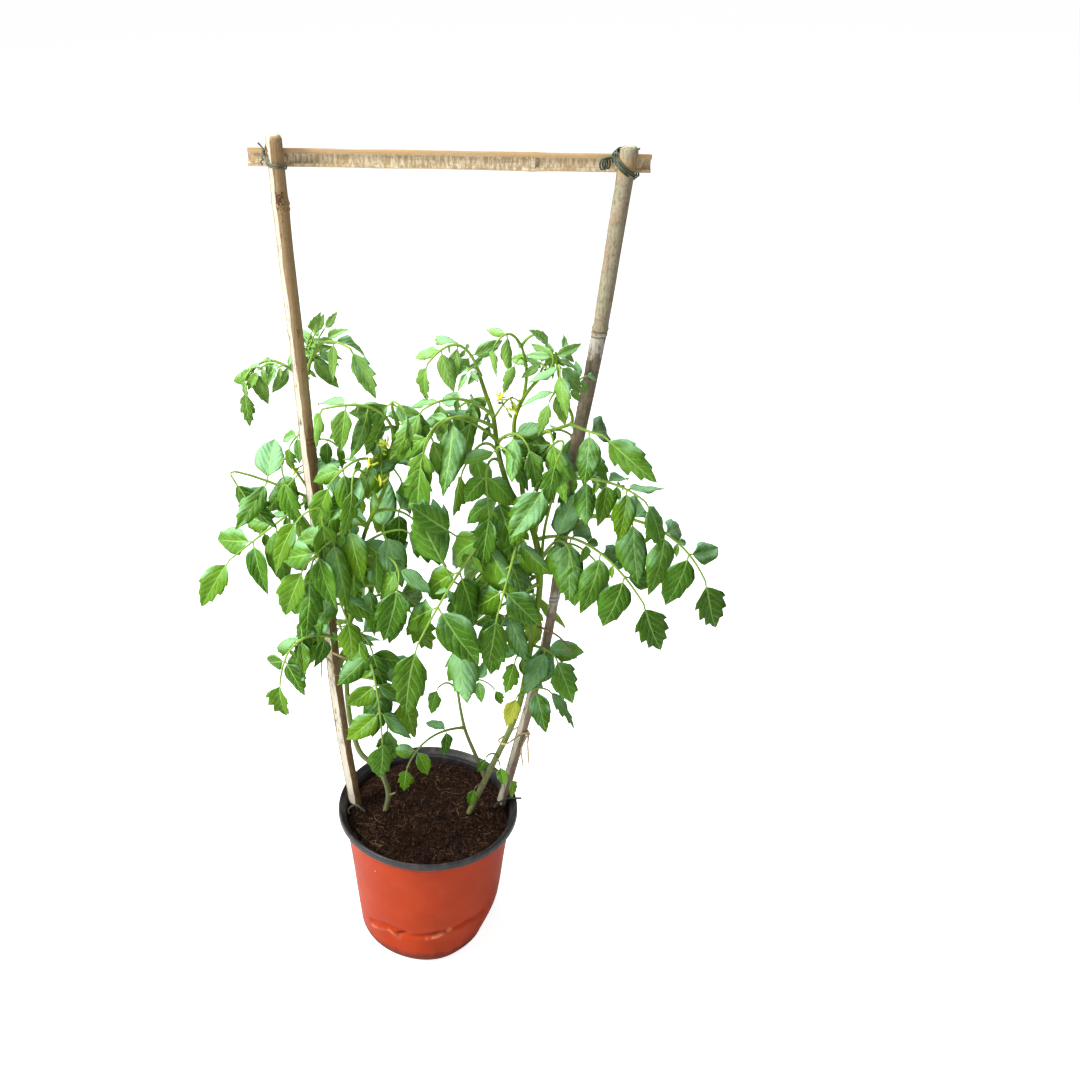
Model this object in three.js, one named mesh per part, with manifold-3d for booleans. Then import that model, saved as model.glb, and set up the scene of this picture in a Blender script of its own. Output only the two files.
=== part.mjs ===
// Two tomato plants in one two-tone nursery pot, tied to split-bamboo stakes with a crossbar.
// Millimetres, +Z up, +Y away from the viewer. The origin is the centre of the pot's flat base.
import * as THREE from "three";
import { mergeVertices } from "three/addons/utils/BufferGeometryUtils.js";
import Module from "manifold-3d";

const wasm = await Module();
wasm.setup();

// ---- Driving dimensions -------------------------------------------------------------------

const GAP = 0.3; // clearance kept between neighbouring pieces

const POT_HEIGHT = 178;
const POT_LIP_RADIUS = 105;
const POT_LIP_HEIGHT = 9;
const LIP_FOOT = POT_HEIGHT - POT_LIP_HEIGHT;
const POT_WALL_TOP_RADIUS = 97;
const POT_WALL_FOOT_RADIUS = 82;
const POT_CORNER_RADIUS = 12; // rounding between wall and base
const POT_WALL = 1.5;
const POT_SIDES = 32;
const DRAIN_HOLES = 6;
const DRAIN_HOLE_RADIUS = 5;
const DRAIN_CIRCLE_RADIUS = 48;

const SOIL_TOP = 164; // mean height of the soil
const SOIL_SWELL = 1.4; // how far its surface rises and falls
const ROOT_DEPTH = 36; // stems reach this far into the soil
const STAKE_DEPTH = 95;

const LEAF_BLADE = 0.8; // thickness of a leaflet
const LEAFLET_WIDTH = 0.6; // of its length
const LEAFLET_FOLD = 0.22; // rise of each half towards its edge
const LEAFLET_ARCH = 0.2; // drop of the tip over the length
const RACHIS_RADIUS = 1.25;
const PAIR_START = 0.3; // first leaflet pair, along the leaf's midrib
const PAIR_END = 0.76;
const PAIR_ROOM = 0.84; // a side leaflet's greatest width, of the distance between pairs
const NECK = 2.2; // width of a leaflet's foot on the midrib
const NECK_TWIST = 0.7; // how much a blade keeps the midrib's own slant
const YOUNG_LEAFLET = 30; // shorter leaflets have a plain edge
const SIDE_LEAFLET = 0.86; // a side leaflet's length, of the end leaflet's
const SIDE_TURN = 76; // degrees from the midrib to the first side leaflets
const SIDE_TURN_FALL = 10; // by the last pair
const TURN_SCATTER = 14; // degrees
const LONE_PAIR = 0.6; // place of a single pair, from the first pair's place to the last's
const LEVEL_LOOK = 0.75; // a leaf faces partly sideways
const UPWARD_LOOK = 0.66; // and partly up

const NODE_SWELL = 1.1; // a stake's radius at a node, of its radius between nodes
const NODE_REACH = 8;
const CUT_SHARE = 0.12; // how far the flat cut lies behind a stake's middle, of its radius

const CROSSBAR_WIDTH = 16.5;
const CROSSBAR_DEPTH = 7;
const CROSSBAR_WALL = 2.6;
const CROSSBAR_ENDS = [[-162, 19.6, 914], [202, 18, 908]];
const CROSSBAR_SEPTUM = 95; // x of the one node wall across its hollow side
const SEPTUM_THICKNESS = 2.4;

const WIRE_RADIUS = 0.9;
const LASHING_PITCH = 2.5; // between turns of wire
const LASHING_STOPS = 12; // curve points a turn
const TWINE_RADIUS = 1.1;
const TWINE_STOPS = 14;
const CORD_CORNERS = 5;

const PETALS = 5;
const PETAL_LENGTH = 9;
const PETAL_NOTCH = 2.6; // how far the notches between the petals lie from the middle
const PETAL_BEND = 0.3;
const PETAL_SET = 1.4; // of the petals above the cone's foot
const CONE_LENGTH = 6;
const CALYX_LENGTH = 2.4;
const PEDICEL_RADIUS = 0.8;

// Split-bamboo stakes: centre line from the soil up, rind radius from foot to top, node heights,
// and the compass angle that the rounded rind faces at the foot and at the top.
const STAKES = {
  stake_left: {
    line: [[-86, 11, 164], [-97, 14, 258], [-104, 14, 340], [-108, 15, 425], [-119, 15, 587],
      [-122, 15, 640], [-127, 15, 733], [-132, 15, 812], [-135, 15, 871], [-138, 15, 935]],
    radius: [9, 6],
    nodes: [258, 425, 640, 871],
    rind: [-20, -50],
  },
  stake_right: {
    line: [[86, 12.5, 164], [97, 16, 215], [104, 16, 252], [116, 16, 315], [127, 16, 378],
      [135, 15, 454], [146, 15, 600], [165, 15, 752], [175, 15, 862], [181, 15, 925]],
    radius: [5.2, 7.6],
    nodes: [315, 454, 600, 752],
    rind: [-70, -110],
  },
};

// Green wire lashings at the two crossings: middle, half-length on the slant, half-depth, turns,
// and the free ends.
const LASHINGS = {
  wire_tie_left: {
    at: [-137, 17.7, 913.5], across: 14, deep: 10.3, turns: 1,
    start: [[-152, 9, 932], [-149, 12, 928]],
    end: [[-146, 10, 926], [-150, 5, 930]],
  },
  wire_tie_right: {
    at: [179.5, 16.3, 908.5], across: 14, deep: 10.4, turns: 3.25,
    start: [[160, 14, 922], [164, 13, 924]],
    end: [[184, 3, 911], [193, 2, 921]],
  },
};

// Dark wires at the stakes' feet.
const RIM_WIRES = {
  rim_wire_left: [[-74, -4, 168], [-79, -2, 171], [-84, 0.9, 173], [-89, 0.8, 171.5],
    [-93.4, -3, 169], [-92.5, -9, 168]],
  rim_wire_right: [[78, 2, 168], [81, 4, 172], [87, 4, 176.5], [94, 5, 179.4], [102, 5, 179.7],
    [110, 4, 180.5]],
};

// Twine ties: the stem and the stake that they go round as [x, y, radius], the knot's compass
// angle, the share of a full turn, and the hanging ends.
const TWINES = {
  raffia_tie_left: {
    round: [[-87, 1, 3.6], [-107, 15, 8.8]], height: 384, rise: 3.4, knot: -130, share: 0.97,
    start: [[-104, -4, 366], [-104, -3, 376]],
    end: [[-116, 0, 379], [-117, -3, 363]],
  },
  raffia_tie_right: {
    round: [[87, -2.4, 5], [107, 16, 6.6]], height: 268, rise: 3.4, knot: -30, share: 0.97,
    start: [[109, 1, 236], [107, 3, 254]],
    end: [[114, 3, 262], [115, -1, 244]],
  },
};

// Flowers: where each stalk leaves its stem, where it ends, the compass angle the flower is
// turned to, and how far it looks up.
const FLOWERS = [
  { plant: "plant_left", from: [-48, -29, 650], at: [-42, -36, 659], turned: 300, up: 15 },
  { plant: "plant_left", from: [-46, -26, 642], at: [-54, -37, 638], turned: 240, up: -35 },
  { plant: "plant_left", from: [-45, -22, 630], at: [-45, -34, 618], turned: 275, up: -45 },
  { plant: "plant_left", from: [-115, 42, 604], at: [-136, 37, 594], turned: 215, up: -45 },
  { plant: "plant_right", from: [80, -10, 692], at: [82, -21, 688], turned: 280, up: -35 },
  { plant: "plant_right", from: [73, -7, 684], at: [71, -16, 697], turned: 250, up: 25 },
  { plant: "plant_right", from: [90, -5, 628], at: [99, -20, 630], turned: 290, up: -20 },
];

// Stems: centre line from the root or the parent stem, radius at its start and end, sides.
const STEMS = {
  left_main: {
    plant: "plant_left",
    line: [[-50, 1, 164], [-46, 0, 190], [-52, -5, 222], [-62, -3, 236], [-76, 1, 248],
      [-83, 2, 268], [-88, 2, 300], [-90, 2, 340], [-87, 1, 385], [-83, 0, 431], [-79, -5, 478],
      [-70, -10, 523], [-60, -12, 557], [-50, -12, 578], [-42, -12, 600], [-38, -11, 628],
      [-29, -12, 665]],
    radius: [4.2, 1.8],
    rooted: true,
  },
  left_shoot: {
    plant: "plant_left",
    line: [[-86, 1, 395], [-88, 20, 425], [-94, 36, 455], [-101, 40, 500], [-111, 42, 567],
      [-119, 42, 635], [-121, 42, 703]],
    radius: [2.6, 1.4],
  },
  left_truss: {
    plant: "plant_left",
    line: [[-41, -12, 612], [-45, -22, 630], [-47, -28, 648], [-50, -32, 657]],
    radius: [1.2, 0.9],
  },
  right_main: {
    plant: "plant_right",
    line: [[48, -3, 164], [60, -4, 198], [71, -4, 229], [82, -3, 257], [92, -2, 284],
      [100, -2, 312], [105, -2, 339], [111, -2, 393], [115, -2, 431], [118, -3, 469],
      [117, -4, 501], [110, -5, 538], [98, -6, 570]],
    radius: [4.5, 3.4],
    rooted: true,
  },
  right_limb: {
    plant: "plant_right",
    line: [[100, -6, 562], [83, -5, 590], [75, -5, 613], [71, -5, 629], [68, -5, 646],
      [64, -3, 671], [57, 0, 691], [49, 0, 715]],
    radius: [3.2, 1.8],
  },
  right_top: {
    plant: "plant_right",
    line: [[99, -6, 566], [94, -5, 602], [91, -5, 624], [86, -5, 646], [85, -5, 665],
      [89, -6, 681], [96, -8, 697], [106, -10, 711], [116, -14, 723]],
    radius: [2.8, 1.4],
  },
  right_tip: {
    plant: "plant_right",
    line: [[93, -7, 690], [95, -6, 710], [94, -5, 727], [89, -3, 744]],
    radius: [1.8, 1.1],
  },
  right_truss: {
    plant: "plant_right",
    line: [[65, -3, 668], [72, -7, 682], [78, -8, 690], [82, -12, 694]],
    radius: [1.2, 0.8],
  },
  right_shoot: {
    plant: "plant_right",
    line: [[86, -5, 647], [110, -14, 657], [130, -20, 666], [140, -20, 672], [134, -18, 690],
      [126, -15, 713], [121, -15, 741]],
    radius: [2, 1.2],
  },
  right_spur: {
    plant: "plant_right",
    line: [[118, -4, 496], [119, -14, 549], [124, -20, 587], [128, -24, 613]],
    radius: [1.8, 1.3],
  },
  right_branch: {
    plant: "plant_right",
    line: [[118, -4, 492], [128, -10, 522], [143, -16, 547], [161, -22, 571]],
    radius: [2.2, 1.4],
  },
  right_dry: {
    plant: "plant_right",
    line: [[113, -1, 425], [126, -5, 423], [141, -8, 415], [157, -12, 398]],
    radius: [1.5, 0.8],
  },
  right_sprout: {
    plant: "plant_right",
    line: [[53, -3, 178], [50, -4, 186], [52, -6, 192], [50, -8, 199]],
    radius: [1.3, 0.8],
  },
  left_twig: {
    plant: "plant_left",
    line: [[-46, 0, 188], [-43, -4, 193], [-38, -8, 199]],
    radius: [1.4, 0.9],
  },
  right_low: {
    plant: "plant_right",
    line: [[66, -4, 217], [56, -2, 245], [43, 0, 281], [37, 0, 310], [33, 2, 338]],
    radius: [2.6, 1.4],
  },
};

// Compound leaves: stem's plant, then the midrib's root, middle and end, the number of side
// pairs, the end leaflet's length, the compass angle that the leaf faces, how much its leaflets
// hang (0 spread, 1 well down), and the number of its own scatter of turns and lengths.
const LEAVES = [
  ["plant_left", [-120, 42, 697], [-103, 22, 736], [-74, 2, 738], 2, 40, 265, 0.9, 1],
  ["plant_left", [-121, 42, 685], [-159, 44, 710], [-183, 36, 682], 2, 38, 250, 0.7, 53],
  ["plant_left", [-121, 42, 700], [-120, 42, 722], [-114, 38, 741], 1, 24, 270, 0.1, 3],
  ["plant_left", [-121, 42, 700], [-108, 34, 725], [-98, 26, 740], 1, 24, 280, 0.2, 4],
  ["plant_left", [-33, -12, 649], [-51, -22, 686], [-100, -32, 690], 3, 43, 265, 0.9, 32],
  ["plant_left", [-119, 42, 641], [-134, 44, 628], [-143, 46, 615], 1, 26, 250, 0.8, 21],
  ["plant_left", [-118, 42, 624], [-103, 34, 628], [-93, 26, 625], 1, 22, 280, 0.5, 7],
  ["plant_left", [-41, -12, 611], [-64, -28, 636], [-95, -46, 617], 2, 46, 260, 0.7, 10],
  ["plant_left", [-111, 42, 567], [-156, 50, 528], [-212, 26, 491], 3, 56, 255, 0.5, 10],
  ["plant_left", [-63, -12, 554], [-86, -36, 559], [-124, -54, 528], 3, 58, 255, 0.6, 10],
  ["plant_left", [-74, -8, 508], [-66, 20, 511], [-66, 40, 492], 1, 38, 100, 0.6, 44],
  ["plant_left", [-85, 1, 400], [-133, -34, 429], [-158, -38, 376], 3, 40, 250, 0.6, 74],
  ["plant_left", [-83, 0, 421], [-60, -38, 399], [-49, -62, 318], 3, 44, 275, 0.5, 39],
  ["plant_left", [-79, -5, 470], [-46, -22, 488], [-14, -22, 466], 2, 46, 275, 0.6, 19],
  ["plant_left", [-67, -10, 529], [-44, -16, 547], [-24, -18, 551], 1, 54, 280, 0.5, 15],
  ["plant_left", [-54, -12, 569], [-34, -4, 567], [-16, 6, 552], 1, 46, 280, 0.5, 16],
  ["plant_left", [-83, 0, 431], [-52, 18, 452], [-20, 22, 430], 2, 46, 280, 0.6, 17],
  ["plant_left", [-88, 1, 358], [-98, 46, 392], [-122, 86, 372], 2, 42, 120, 0.4, 18],
  ["plant_left", [-103, 40, 520], [-88, 74, 545], [-60, 100, 522], 2, 48, 80, 0.6, 27],
  ["plant_right", [51, 0, 711], [29, -4, 744], [0, -12, 728], 3, 36, 265, 0.6, 20],
  ["plant_right", [64, -3, 671], [29, -14, 693], [-5, -30, 688], 2, 42, 260, 0.8, 27],
  ["plant_right", [66, -3, 658], [19, -34, 680], [-6, -52, 644], 2, 54, 265, 0.7, 49],
  ["plant_right", [59, 0, 686], [44, 22, 677], [25, 40, 656], 2, 36, 265, 0.6, 66],
  ["plant_right", [70, -5, 632], [54, 18, 630], [36, 34, 592], 1, 46, 250, 0.6, 24],
  ["plant_right", [69, -5, 643], [84, -22, 660], [97, -34, 652], 1, 38, 280, 0.5, 25],
  ["plant_right", [73, -5, 622], [59, -26, 628], [60, -36, 590], 1, 36, 265, 0.4, 26],
  ["plant_right", [93, -5, 575], [75, 14, 560], [59, 28, 533], 1, 56, 265, 0.8, 33],
  ["plant_right", [89, -3, 742], [76, -12, 758], [62, -20, 748], 1, 28, 250, 0.5, 32],
  ["plant_right", [89, -3, 742], [100, -1, 753], [110, -4, 750], 0, 30, 290, 0.3, 29],
  ["plant_right", [94, -6, 724], [89, -15, 735], [83, -22, 733], 0, 26, 270, 0.5, 30],
  ["plant_right", [116, -14, 721], [119, -16, 735], [114, -16, 747], 1, 22, 270, 0.1, 31],
  ["plant_right", [116, -14, 721], [123, -14, 735], [127, -12, 742], 1, 22, 290, 0.1, 32],
  ["plant_right", [116, -14, 721], [109, -10, 727], [100, -6, 730], 1, 22, 260, 0.2, 33],
  ["plant_right", [124, -15, 725], [124, -24, 731], [124, -32, 728], 1, 34, 275, 0.6, 38],
  ["plant_right", [131, -17, 697], [123, -28, 707], [115, -37, 700], 1, 30, 265, 0.6, 35],
  ["plant_right", [117, -16, 660], [119, -24, 662], [121, -30, 657], 0, 48, 270, 0.8, 36],
  ["plant_right", [138, -20, 670], [153, -28, 666], [169, -36, 664], 1, 54, 285, 0.7, 38],
  ["plant_right", [91, -5, 624], [128, 32, 640], [163, 42, 612], 2, 44, 290, 0.6, 38],
  ["plant_right", [128, -24, 611], [174, -36, 615], [213, -46, 598], 3, 44, 285, 0.6, 39],
  ["plant_right", [127, -23, 604], [120, -34, 611], [114, -42, 613], 0, 46, 255, 0.7, 40],
  ["plant_right", [125, -19, 583], [129, -12, 594], [133, -8, 596], 0, 36, 270, 0.9, 43],
  ["plant_right", [161, -22, 569], [232, -38, 562], [281, -48, 508], 3, 56, 290, 0.5, 43],
  ["plant_right", [112, -4, 532], [163, -40, 545], [218, -62, 490], 3, 56, 285, 0.6, 43],
  ["plant_right", [117, -4, 507], [151, 46, 500], [186, 54, 470], 1, 58, 280, 0.7, 83],
  ["plant_right", [112, 0, 393], [101, -14, 400], [94, -22, 395], 1, 36, 255, 0.6, 45],
  ["plant_right", [113, 0, 399], [128, -16, 403], [137, -24, 399], 1, 42, 285, 0.5, 46],
  ["plant_right", [105, 0, 335], [118, -14, 352], [131, -22, 355], 1, 42, 285, 0.4, 71],
  ["plant_right", [94, -5, 575], [42, -46, 535], [-10, -84, 456], 3, 68, 262, 0.6, 52],
  ["plant_right", [99, -5, 565], [84, -48, 528], [70, -70, 481], 3, 50, 272, 0.6, 52],
  ["plant_right", [117, -4, 497], [80, 12, 506], [44, 12, 470], 2, 52, 265, 0.6, 52],
  ["plant_right", [111, -2, 400], [116, 45, 432], [122, 82, 402], 2, 48, 75, 0.6, 53],
  ["plant_right", [117, -4, 480], [92, 50, 520], [62, 86, 500], 2, 52, 100, 0.6, 53],
  ["plant_right", [41, 0, 287], [2, -32, 297], [-23, -50, 270], 2, 34, 262, 0.5, 53],
  ["plant_right", [105, -3, 334], [102, -9, 341], [98, -14, 340], 0, 28, 262, 0.9, 1],
  ["plant_right", [80, -4, 250], [72, -10, 258], [66, -13, 255], 0, 22, 262, 0.5, 2],
  ["plant_right", [78, -4, 246], [80, -12, 250], [82, -17, 246], 0, 20, 285, 0.6, 3],
  ["plant_right", [64, -5, 208], [58, -12, 214], [54, -16, 212], 0, 22, 262, 0.5, 4],
  ["plant_right", [71, -3, 228], [86, -9, 230], [95, -12, 222], 0, 24, 285, 0.5, 5],
  ["plant_right", [33, 2, 336], [22, 0, 349], [11, -5, 345], 0, 27, 255, 0.6, 54],
  ["plant_right", [33, 2, 336], [54, -4, 356], [74, -9, 346], 1, 20, 300, 0.3, 56],
];

// ---- Shared shape helpers -----------------------------------------------------------------

const vec = (p) => new THREE.Vector3(p[0], p[1], p[2]);
const compass = (degrees) => new THREE.Vector3(
  Math.cos(THREE.MathUtils.degToRad(degrees)), Math.sin(THREE.MathUtils.degToRad(degrees)), 0);

// A repeatable number from 0 to 1 for a leaf or leaflet.
function scatter(seed) {
  const s = Math.sin(seed * 12.9898 + 4.1414) * 43758.5453;
  return s - Math.floor(s);
}

function merged(geometry) {
  geometry.deleteAttribute("normal");
  geometry.deleteAttribute("uv");
  return mergeVertices(geometry, 1e-4);
}

function toSolid(geometry) {
  const closed = merged(geometry);
  return new wasm.Manifold(new wasm.Mesh({
    numProp: 3,
    vertProperties: new Float32Array(closed.attributes.position.array),
    triVerts: new Uint32Array(closed.index.array),
  }));
}

function toGeometry(solid) {
  const mesh = solid.getMesh();
  const geometry = new THREE.BufferGeometry();
  geometry.setAttribute("position", new THREE.BufferAttribute(mesh.vertProperties, 3));
  geometry.setIndex(new THREE.BufferAttribute(mesh.triVerts, 1));
  return geometry;
}

const fuse = (geometries) => geometries.map(toSolid).reduce((all, next) => all.add(next));

// A cylinder bent to pass through points: section(angle, t, height) gives the outline's two
// offsets at share t of the length.
function sweep(points, sides, section, reference) {
  const curve = new THREE.CatmullRomCurve3(points, false, "centripetal");
  const last = points.length - 1;
  const reached = [0];
  for (let i = 1; i <= last; i += 1) {
    reached.push(reached[i - 1] + points[i].distanceTo(points[i - 1]));
  }
  const geometry = new THREE.CylinderGeometry(1, 1, 1, sides, last);
  const place = geometry.attributes.position;
  for (let k = 0; k < place.count; k += 1) {
    const row = Math.round((place.getY(k) + 0.5) * last);
    const along = curve.getTangent(row / last);
    const across = new THREE.Vector3().crossVectors(reference, along).normalize();
    const upward = new THREE.Vector3().crossVectors(along, across);
    const x = place.getX(k);
    const z = place.getZ(k);
    const point = points[row].clone();
    if (Math.hypot(x, z) > 0.5) {
      const [a, b] = section(Math.atan2(-z, x), reached[row] / reached[last], point.z);
      point.addScaledVector(across, a).addScaledVector(upward, b);
    }
    place.setXYZ(k, point.x, point.y, point.z);
  }
  return geometry;
}

const round = (radius) => (angle, t) => [
  radius(t) * Math.cos(angle), radius(t) * Math.sin(angle)];

// ---- Pot and soil -------------------------------------------------------------------------

function wallRadius(z) {
  const share = (z - POT_CORNER_RADIUS) / (LIP_FOOT - POT_CORNER_RADIUS);
  return THREE.MathUtils.lerp(POT_WALL_FOOT_RADIUS, POT_WALL_TOP_RADIUS, share);
}

function potGeometry() {
  const base = POT_WALL_FOOT_RADIUS - POT_CORNER_RADIUS;
  const outline = new THREE.Path();
  outline.moveTo(0, 0);
  outline.lineTo(base, 0);
  outline.quadraticCurveTo(POT_WALL_FOOT_RADIUS, 0, POT_WALL_FOOT_RADIUS, POT_CORNER_RADIUS);
  outline.lineTo(POT_WALL_TOP_RADIUS, LIP_FOOT);
  outline.lineTo(POT_LIP_RADIUS, LIP_FOOT + 1.2);
  outline.lineTo(POT_LIP_RADIUS - 0.4, POT_HEIGHT - 1);
  outline.lineTo(POT_LIP_RADIUS - 2, POT_HEIGHT);
  outline.lineTo(POT_WALL_TOP_RADIUS + 0.4, LIP_FOOT + 2);
  outline.lineTo(POT_WALL_TOP_RADIUS - POT_WALL, LIP_FOOT);
  outline.lineTo(POT_WALL_FOOT_RADIUS - POT_WALL, POT_CORNER_RADIUS);
  outline.quadraticCurveTo(POT_WALL_FOOT_RADIUS - POT_WALL, POT_WALL, base, POT_WALL);
  outline.lineTo(0, POT_WALL);
  const lathe = new THREE.LatheGeometry(outline.getPoints(3), POT_SIDES).rotateX(Math.PI / 2);
  let pot = toSolid(lathe);
  for (let i = 0; i < DRAIN_HOLES; i += 1) {
    const angle = ((i + 0.5) / DRAIN_HOLES) * 2 * Math.PI;
    const hole = new THREE.CylinderGeometry(DRAIN_HOLE_RADIUS, DRAIN_HOLE_RADIUS, 8, 8);
    hole.rotateX(Math.PI / 2);
    hole.translate(
      DRAIN_CIRCLE_RADIUS * Math.cos(angle), DRAIN_CIRCLE_RADIUS * Math.sin(angle), 0);
    pot = pot.subtract(toSolid(hole));
  }
  return toGeometry(pot);
}

function soilGeometry() {
  const floor = POT_WALL + GAP;
  const corner = POT_CORNER_RADIUS;
  const edge = POT_WALL + GAP * 1.6;
  const profile = [
    [0, floor],
    [POT_WALL_FOOT_RADIUS - corner, floor],
    [POT_WALL_FOOT_RADIUS - corner * 0.42, floor + corner * 0.22],
    [POT_WALL_FOOT_RADIUS - edge - 0.4, corner],
    [wallRadius(SOIL_TOP - 2) - edge, SOIL_TOP - 2],
    [66, SOIL_TOP],
    [34, SOIL_TOP],
    [0, SOIL_TOP],
  ].map(([r, z]) => new THREE.Vector2(r, z));
  const lathe = new THREE.LatheGeometry(profile, POT_SIDES).rotateX(Math.PI / 2);
  const place = lathe.attributes.position;
  for (let k = 0; k < place.count; k += 1) {
    const x = place.getX(k);
    const y = place.getY(k);
    if (place.getZ(k) > SOIL_TOP - 1) {
      const swell = Math.sin(x / 17 + 1) * Math.cos(y / 21) + 0.5 * Math.sin((x - y) / 9);
      place.setZ(k, SOIL_TOP + SOIL_SWELL * swell);
    }
  }
  let soil = toSolid(lathe);
  for (const stake of Object.values(STAKES)) soil = soil.subtract(toSolid(stakeShape(stake, GAP)));
  for (const stem of Object.values(STEMS)) {
    if (stem.rooted) soil = soil.subtract(toSolid(stemShape(stem, GAP)));
  }
  return toGeometry(soil);
}

// ---- Bamboo -------------------------------------------------------------------------------

// The centre line carried on below the soil by the depth given.
function sunkLine(line, depth) {
  const foot = vec(line[0]);
  const dip = vec(line[1]).sub(foot).normalize().multiplyScalar(-depth);
  return [foot.clone().add(dip), ...line.map(vec)];
}

// Half a culm: a round rind on one side, a flat cut face on the other, a ring at each node.
function stakeShape(stake, clearance) {
  const section = (angle, t, height) => {
    const ring = stake.nodes.some((z) => Math.abs(z - height) < NODE_REACH) ? NODE_SWELL : 1;
    const radius = THREE.MathUtils.lerp(stake.radius[0], stake.radius[1], t) * ring + clearance;
    const rind = THREE.MathUtils.degToRad(
      THREE.MathUtils.lerp(stake.rind[0], stake.rind[1], t));
    const flat = -CUT_SHARE * radius - clearance;
    const a = Math.max(radius * Math.cos(angle), flat);
    const b = radius * Math.sin(angle);
    return [a * Math.cos(rind) - b * Math.sin(rind), a * Math.sin(rind) + b * Math.cos(rind)];
  };
  const line = sunkLine(stake.line, STAKE_DEPTH + clearance);
  return sweep(line, 8, section, new THREE.Vector3(0, 1, 0));
}

// A half culm laid flat across the stakes, hollow side to the front.
function crossbarGeometry() {
  const [start, end] = CROSSBAR_ENDS.map(vec);
  const half = CROSSBAR_WIDTH / 2;
  const inner = half - CROSSBAR_WALL;
  const profile = new THREE.Shape();
  profile.moveTo(-half, 0);
  profile.quadraticCurveTo(-half, -CROSSBAR_DEPTH, 0, -CROSSBAR_DEPTH);
  profile.quadraticCurveTo(half, -CROSSBAR_DEPTH, half, 0);
  profile.lineTo(inner, 0);
  profile.quadraticCurveTo(inner * 0.8, CROSSBAR_WALL - CROSSBAR_DEPTH, 0,
    CROSSBAR_WALL - CROSSBAR_DEPTH);
  profile.quadraticCurveTo(-inner * 0.8, CROSSBAR_WALL - CROSSBAR_DEPTH, -inner, 0);
  profile.closePath();
  const length = start.distanceTo(end);
  const bar = new THREE.ExtrudeGeometry(profile, {
    depth: length, steps: 6, bevelEnabled: false, curveSegments: 3,
  });
  const wall = new THREE.BoxGeometry(
    inner * 2.1, CROSSBAR_DEPTH - CROSSBAR_WALL, SEPTUM_THICKNESS);
  wall.translate(0, (CROSSBAR_WALL - CROSSBAR_DEPTH) / 2 - 0.6, CROSSBAR_SEPTUM - start.x);
  const geometry = toGeometry(fuse([bar, wall]));
  const along = end.clone().sub(start).normalize();
  const front = new THREE.Vector3(0, -1, 0);
  const upward = new THREE.Vector3().crossVectors(front, along).normalize();
  geometry.applyMatrix4(new THREE.Matrix4().makeBasis(upward, front, along));
  geometry.translate(start.x, start.y, start.z);
  return geometry;
}

// ---- Plants -------------------------------------------------------------------------------

function stemShape(stem, clearance) {
  const line = stem.rooted ? sunkLine(stem.line, ROOT_DEPTH + clearance) : stem.line.map(vec);
  const sides = stem.radius[0] > 2 ? 6 : 4;
  const radius = (t) => THREE.MathUtils.lerp(stem.radius[0], stem.radius[1], t) + clearance;
  return sweep(line, sides, round(radius), new THREE.Vector3(0.2, 1, 0));
}

// Half a leaflet's edge, as shares of its length and width: shoulder, tooth, notch, tooth.
const TOOTHED_EDGE = [[0.3, 0.5], [0.46, 0.38], [0.63, 0.4]];
const YOUNG_EDGE = [[0.3, 0.5], [0.66, 0.34]];

// A leaf is one closed skin of shared points and triangles.
class LeafSkin {
  constructor() {
    this.place = [];
    this.index = [];
  }

  point(p) {
    this.place.push(p.x, p.y, p.z);
    return this.place.length / 3 - 1;
  }

  triangle(a, b, c, flip) {
    if (flip) this.index.push(a, c, b);
    else this.index.push(a, b, c);
  }

  quad(a, b, c, d, flip = false) {
    this.triangle(a, b, c, flip);
    this.triangle(a, c, d, flip);
  }

  geometry() {
    const geometry = new THREE.BufferGeometry();
    geometry.setAttribute("position", new THREE.Float32BufferAttribute(this.place, 3));
    geometry.setIndex(this.index);
    return geometry;
  }
}

// A toothed leaflet growing from a neck on the midrib: the neck's near and far side each have an
// upper and a lower point. The blade is folded along its own rib, arched, alike on both faces.
function addLeaflet(skin, neck, direction, facing, length, width) {
  const across = new THREE.Vector3().crossVectors(facing, direction).normalize();
  if (across.dot(neck.forward) < 0) across.negate();
  across.addScaledVector(neck.forward, NECK_TWIST).addScaledVector(
    direction, -NECK_TWIST * neck.forward.dot(direction)).normalize();
  const normal = new THREE.Vector3().crossVectors(direction, across);
  const { flip } = neck;
  if (flip) normal.negate();
  const edge = length < YOUNG_LEAFLET ? YOUNG_EDGE : TOOTHED_EDGE;
  const near = edge.map(([t, w]) => [t, -w]);
  const outline = [...near, [1, 0], ...edge.toReversed()];
  const ring = [[0, -0.02], ...outline, [0, 0.02]];
  const [top, base] = [0, 1].map((face) => [
    neck.near[face],
    ...outline.map(([t, w]) => {
      const rise = Math.abs(w) * width * LEAFLET_FOLD - LEAFLET_ARCH * length * t * t;
      const lift = rise + (0.5 - face) * LEAF_BLADE;
      return skin.point(neck.centre.clone().addScaledVector(direction, t * length)
        .addScaledVector(across, w * width).addScaledVector(normal, lift));
    }),
    neck.far[face],
  ]);
  const tip = near.length + 1;
  const last = ring.length - 1;
  const nearHalf = ring.map((_, i) => i).slice(0, tip + 1);
  const farHalf = [...ring.map((_, i) => i).slice(tip), 0];
  for (const half of [nearHalf, farHalf]) {
    const corners = half.map((i) => new THREE.Vector2(...ring[i]));
    for (const face of THREE.ShapeUtils.triangulateShape(corners, [])) {
      const [a, b, c] = face.map((i) => half[i]);
      skin.triangle(top[a], top[b], top[c], flip);
      skin.triangle(base[a], base[c], base[b], flip);
    }
  }
  for (let i = 0; i < last; i += 1) {
    skin.quad(top[i], base[i], base[i + 1], top[i + 1], flip);
  }
}

const pairShare = (pair, pairs) => (pairs > 1 ? pair / (pairs - 1) : LONE_PAIR);

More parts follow.
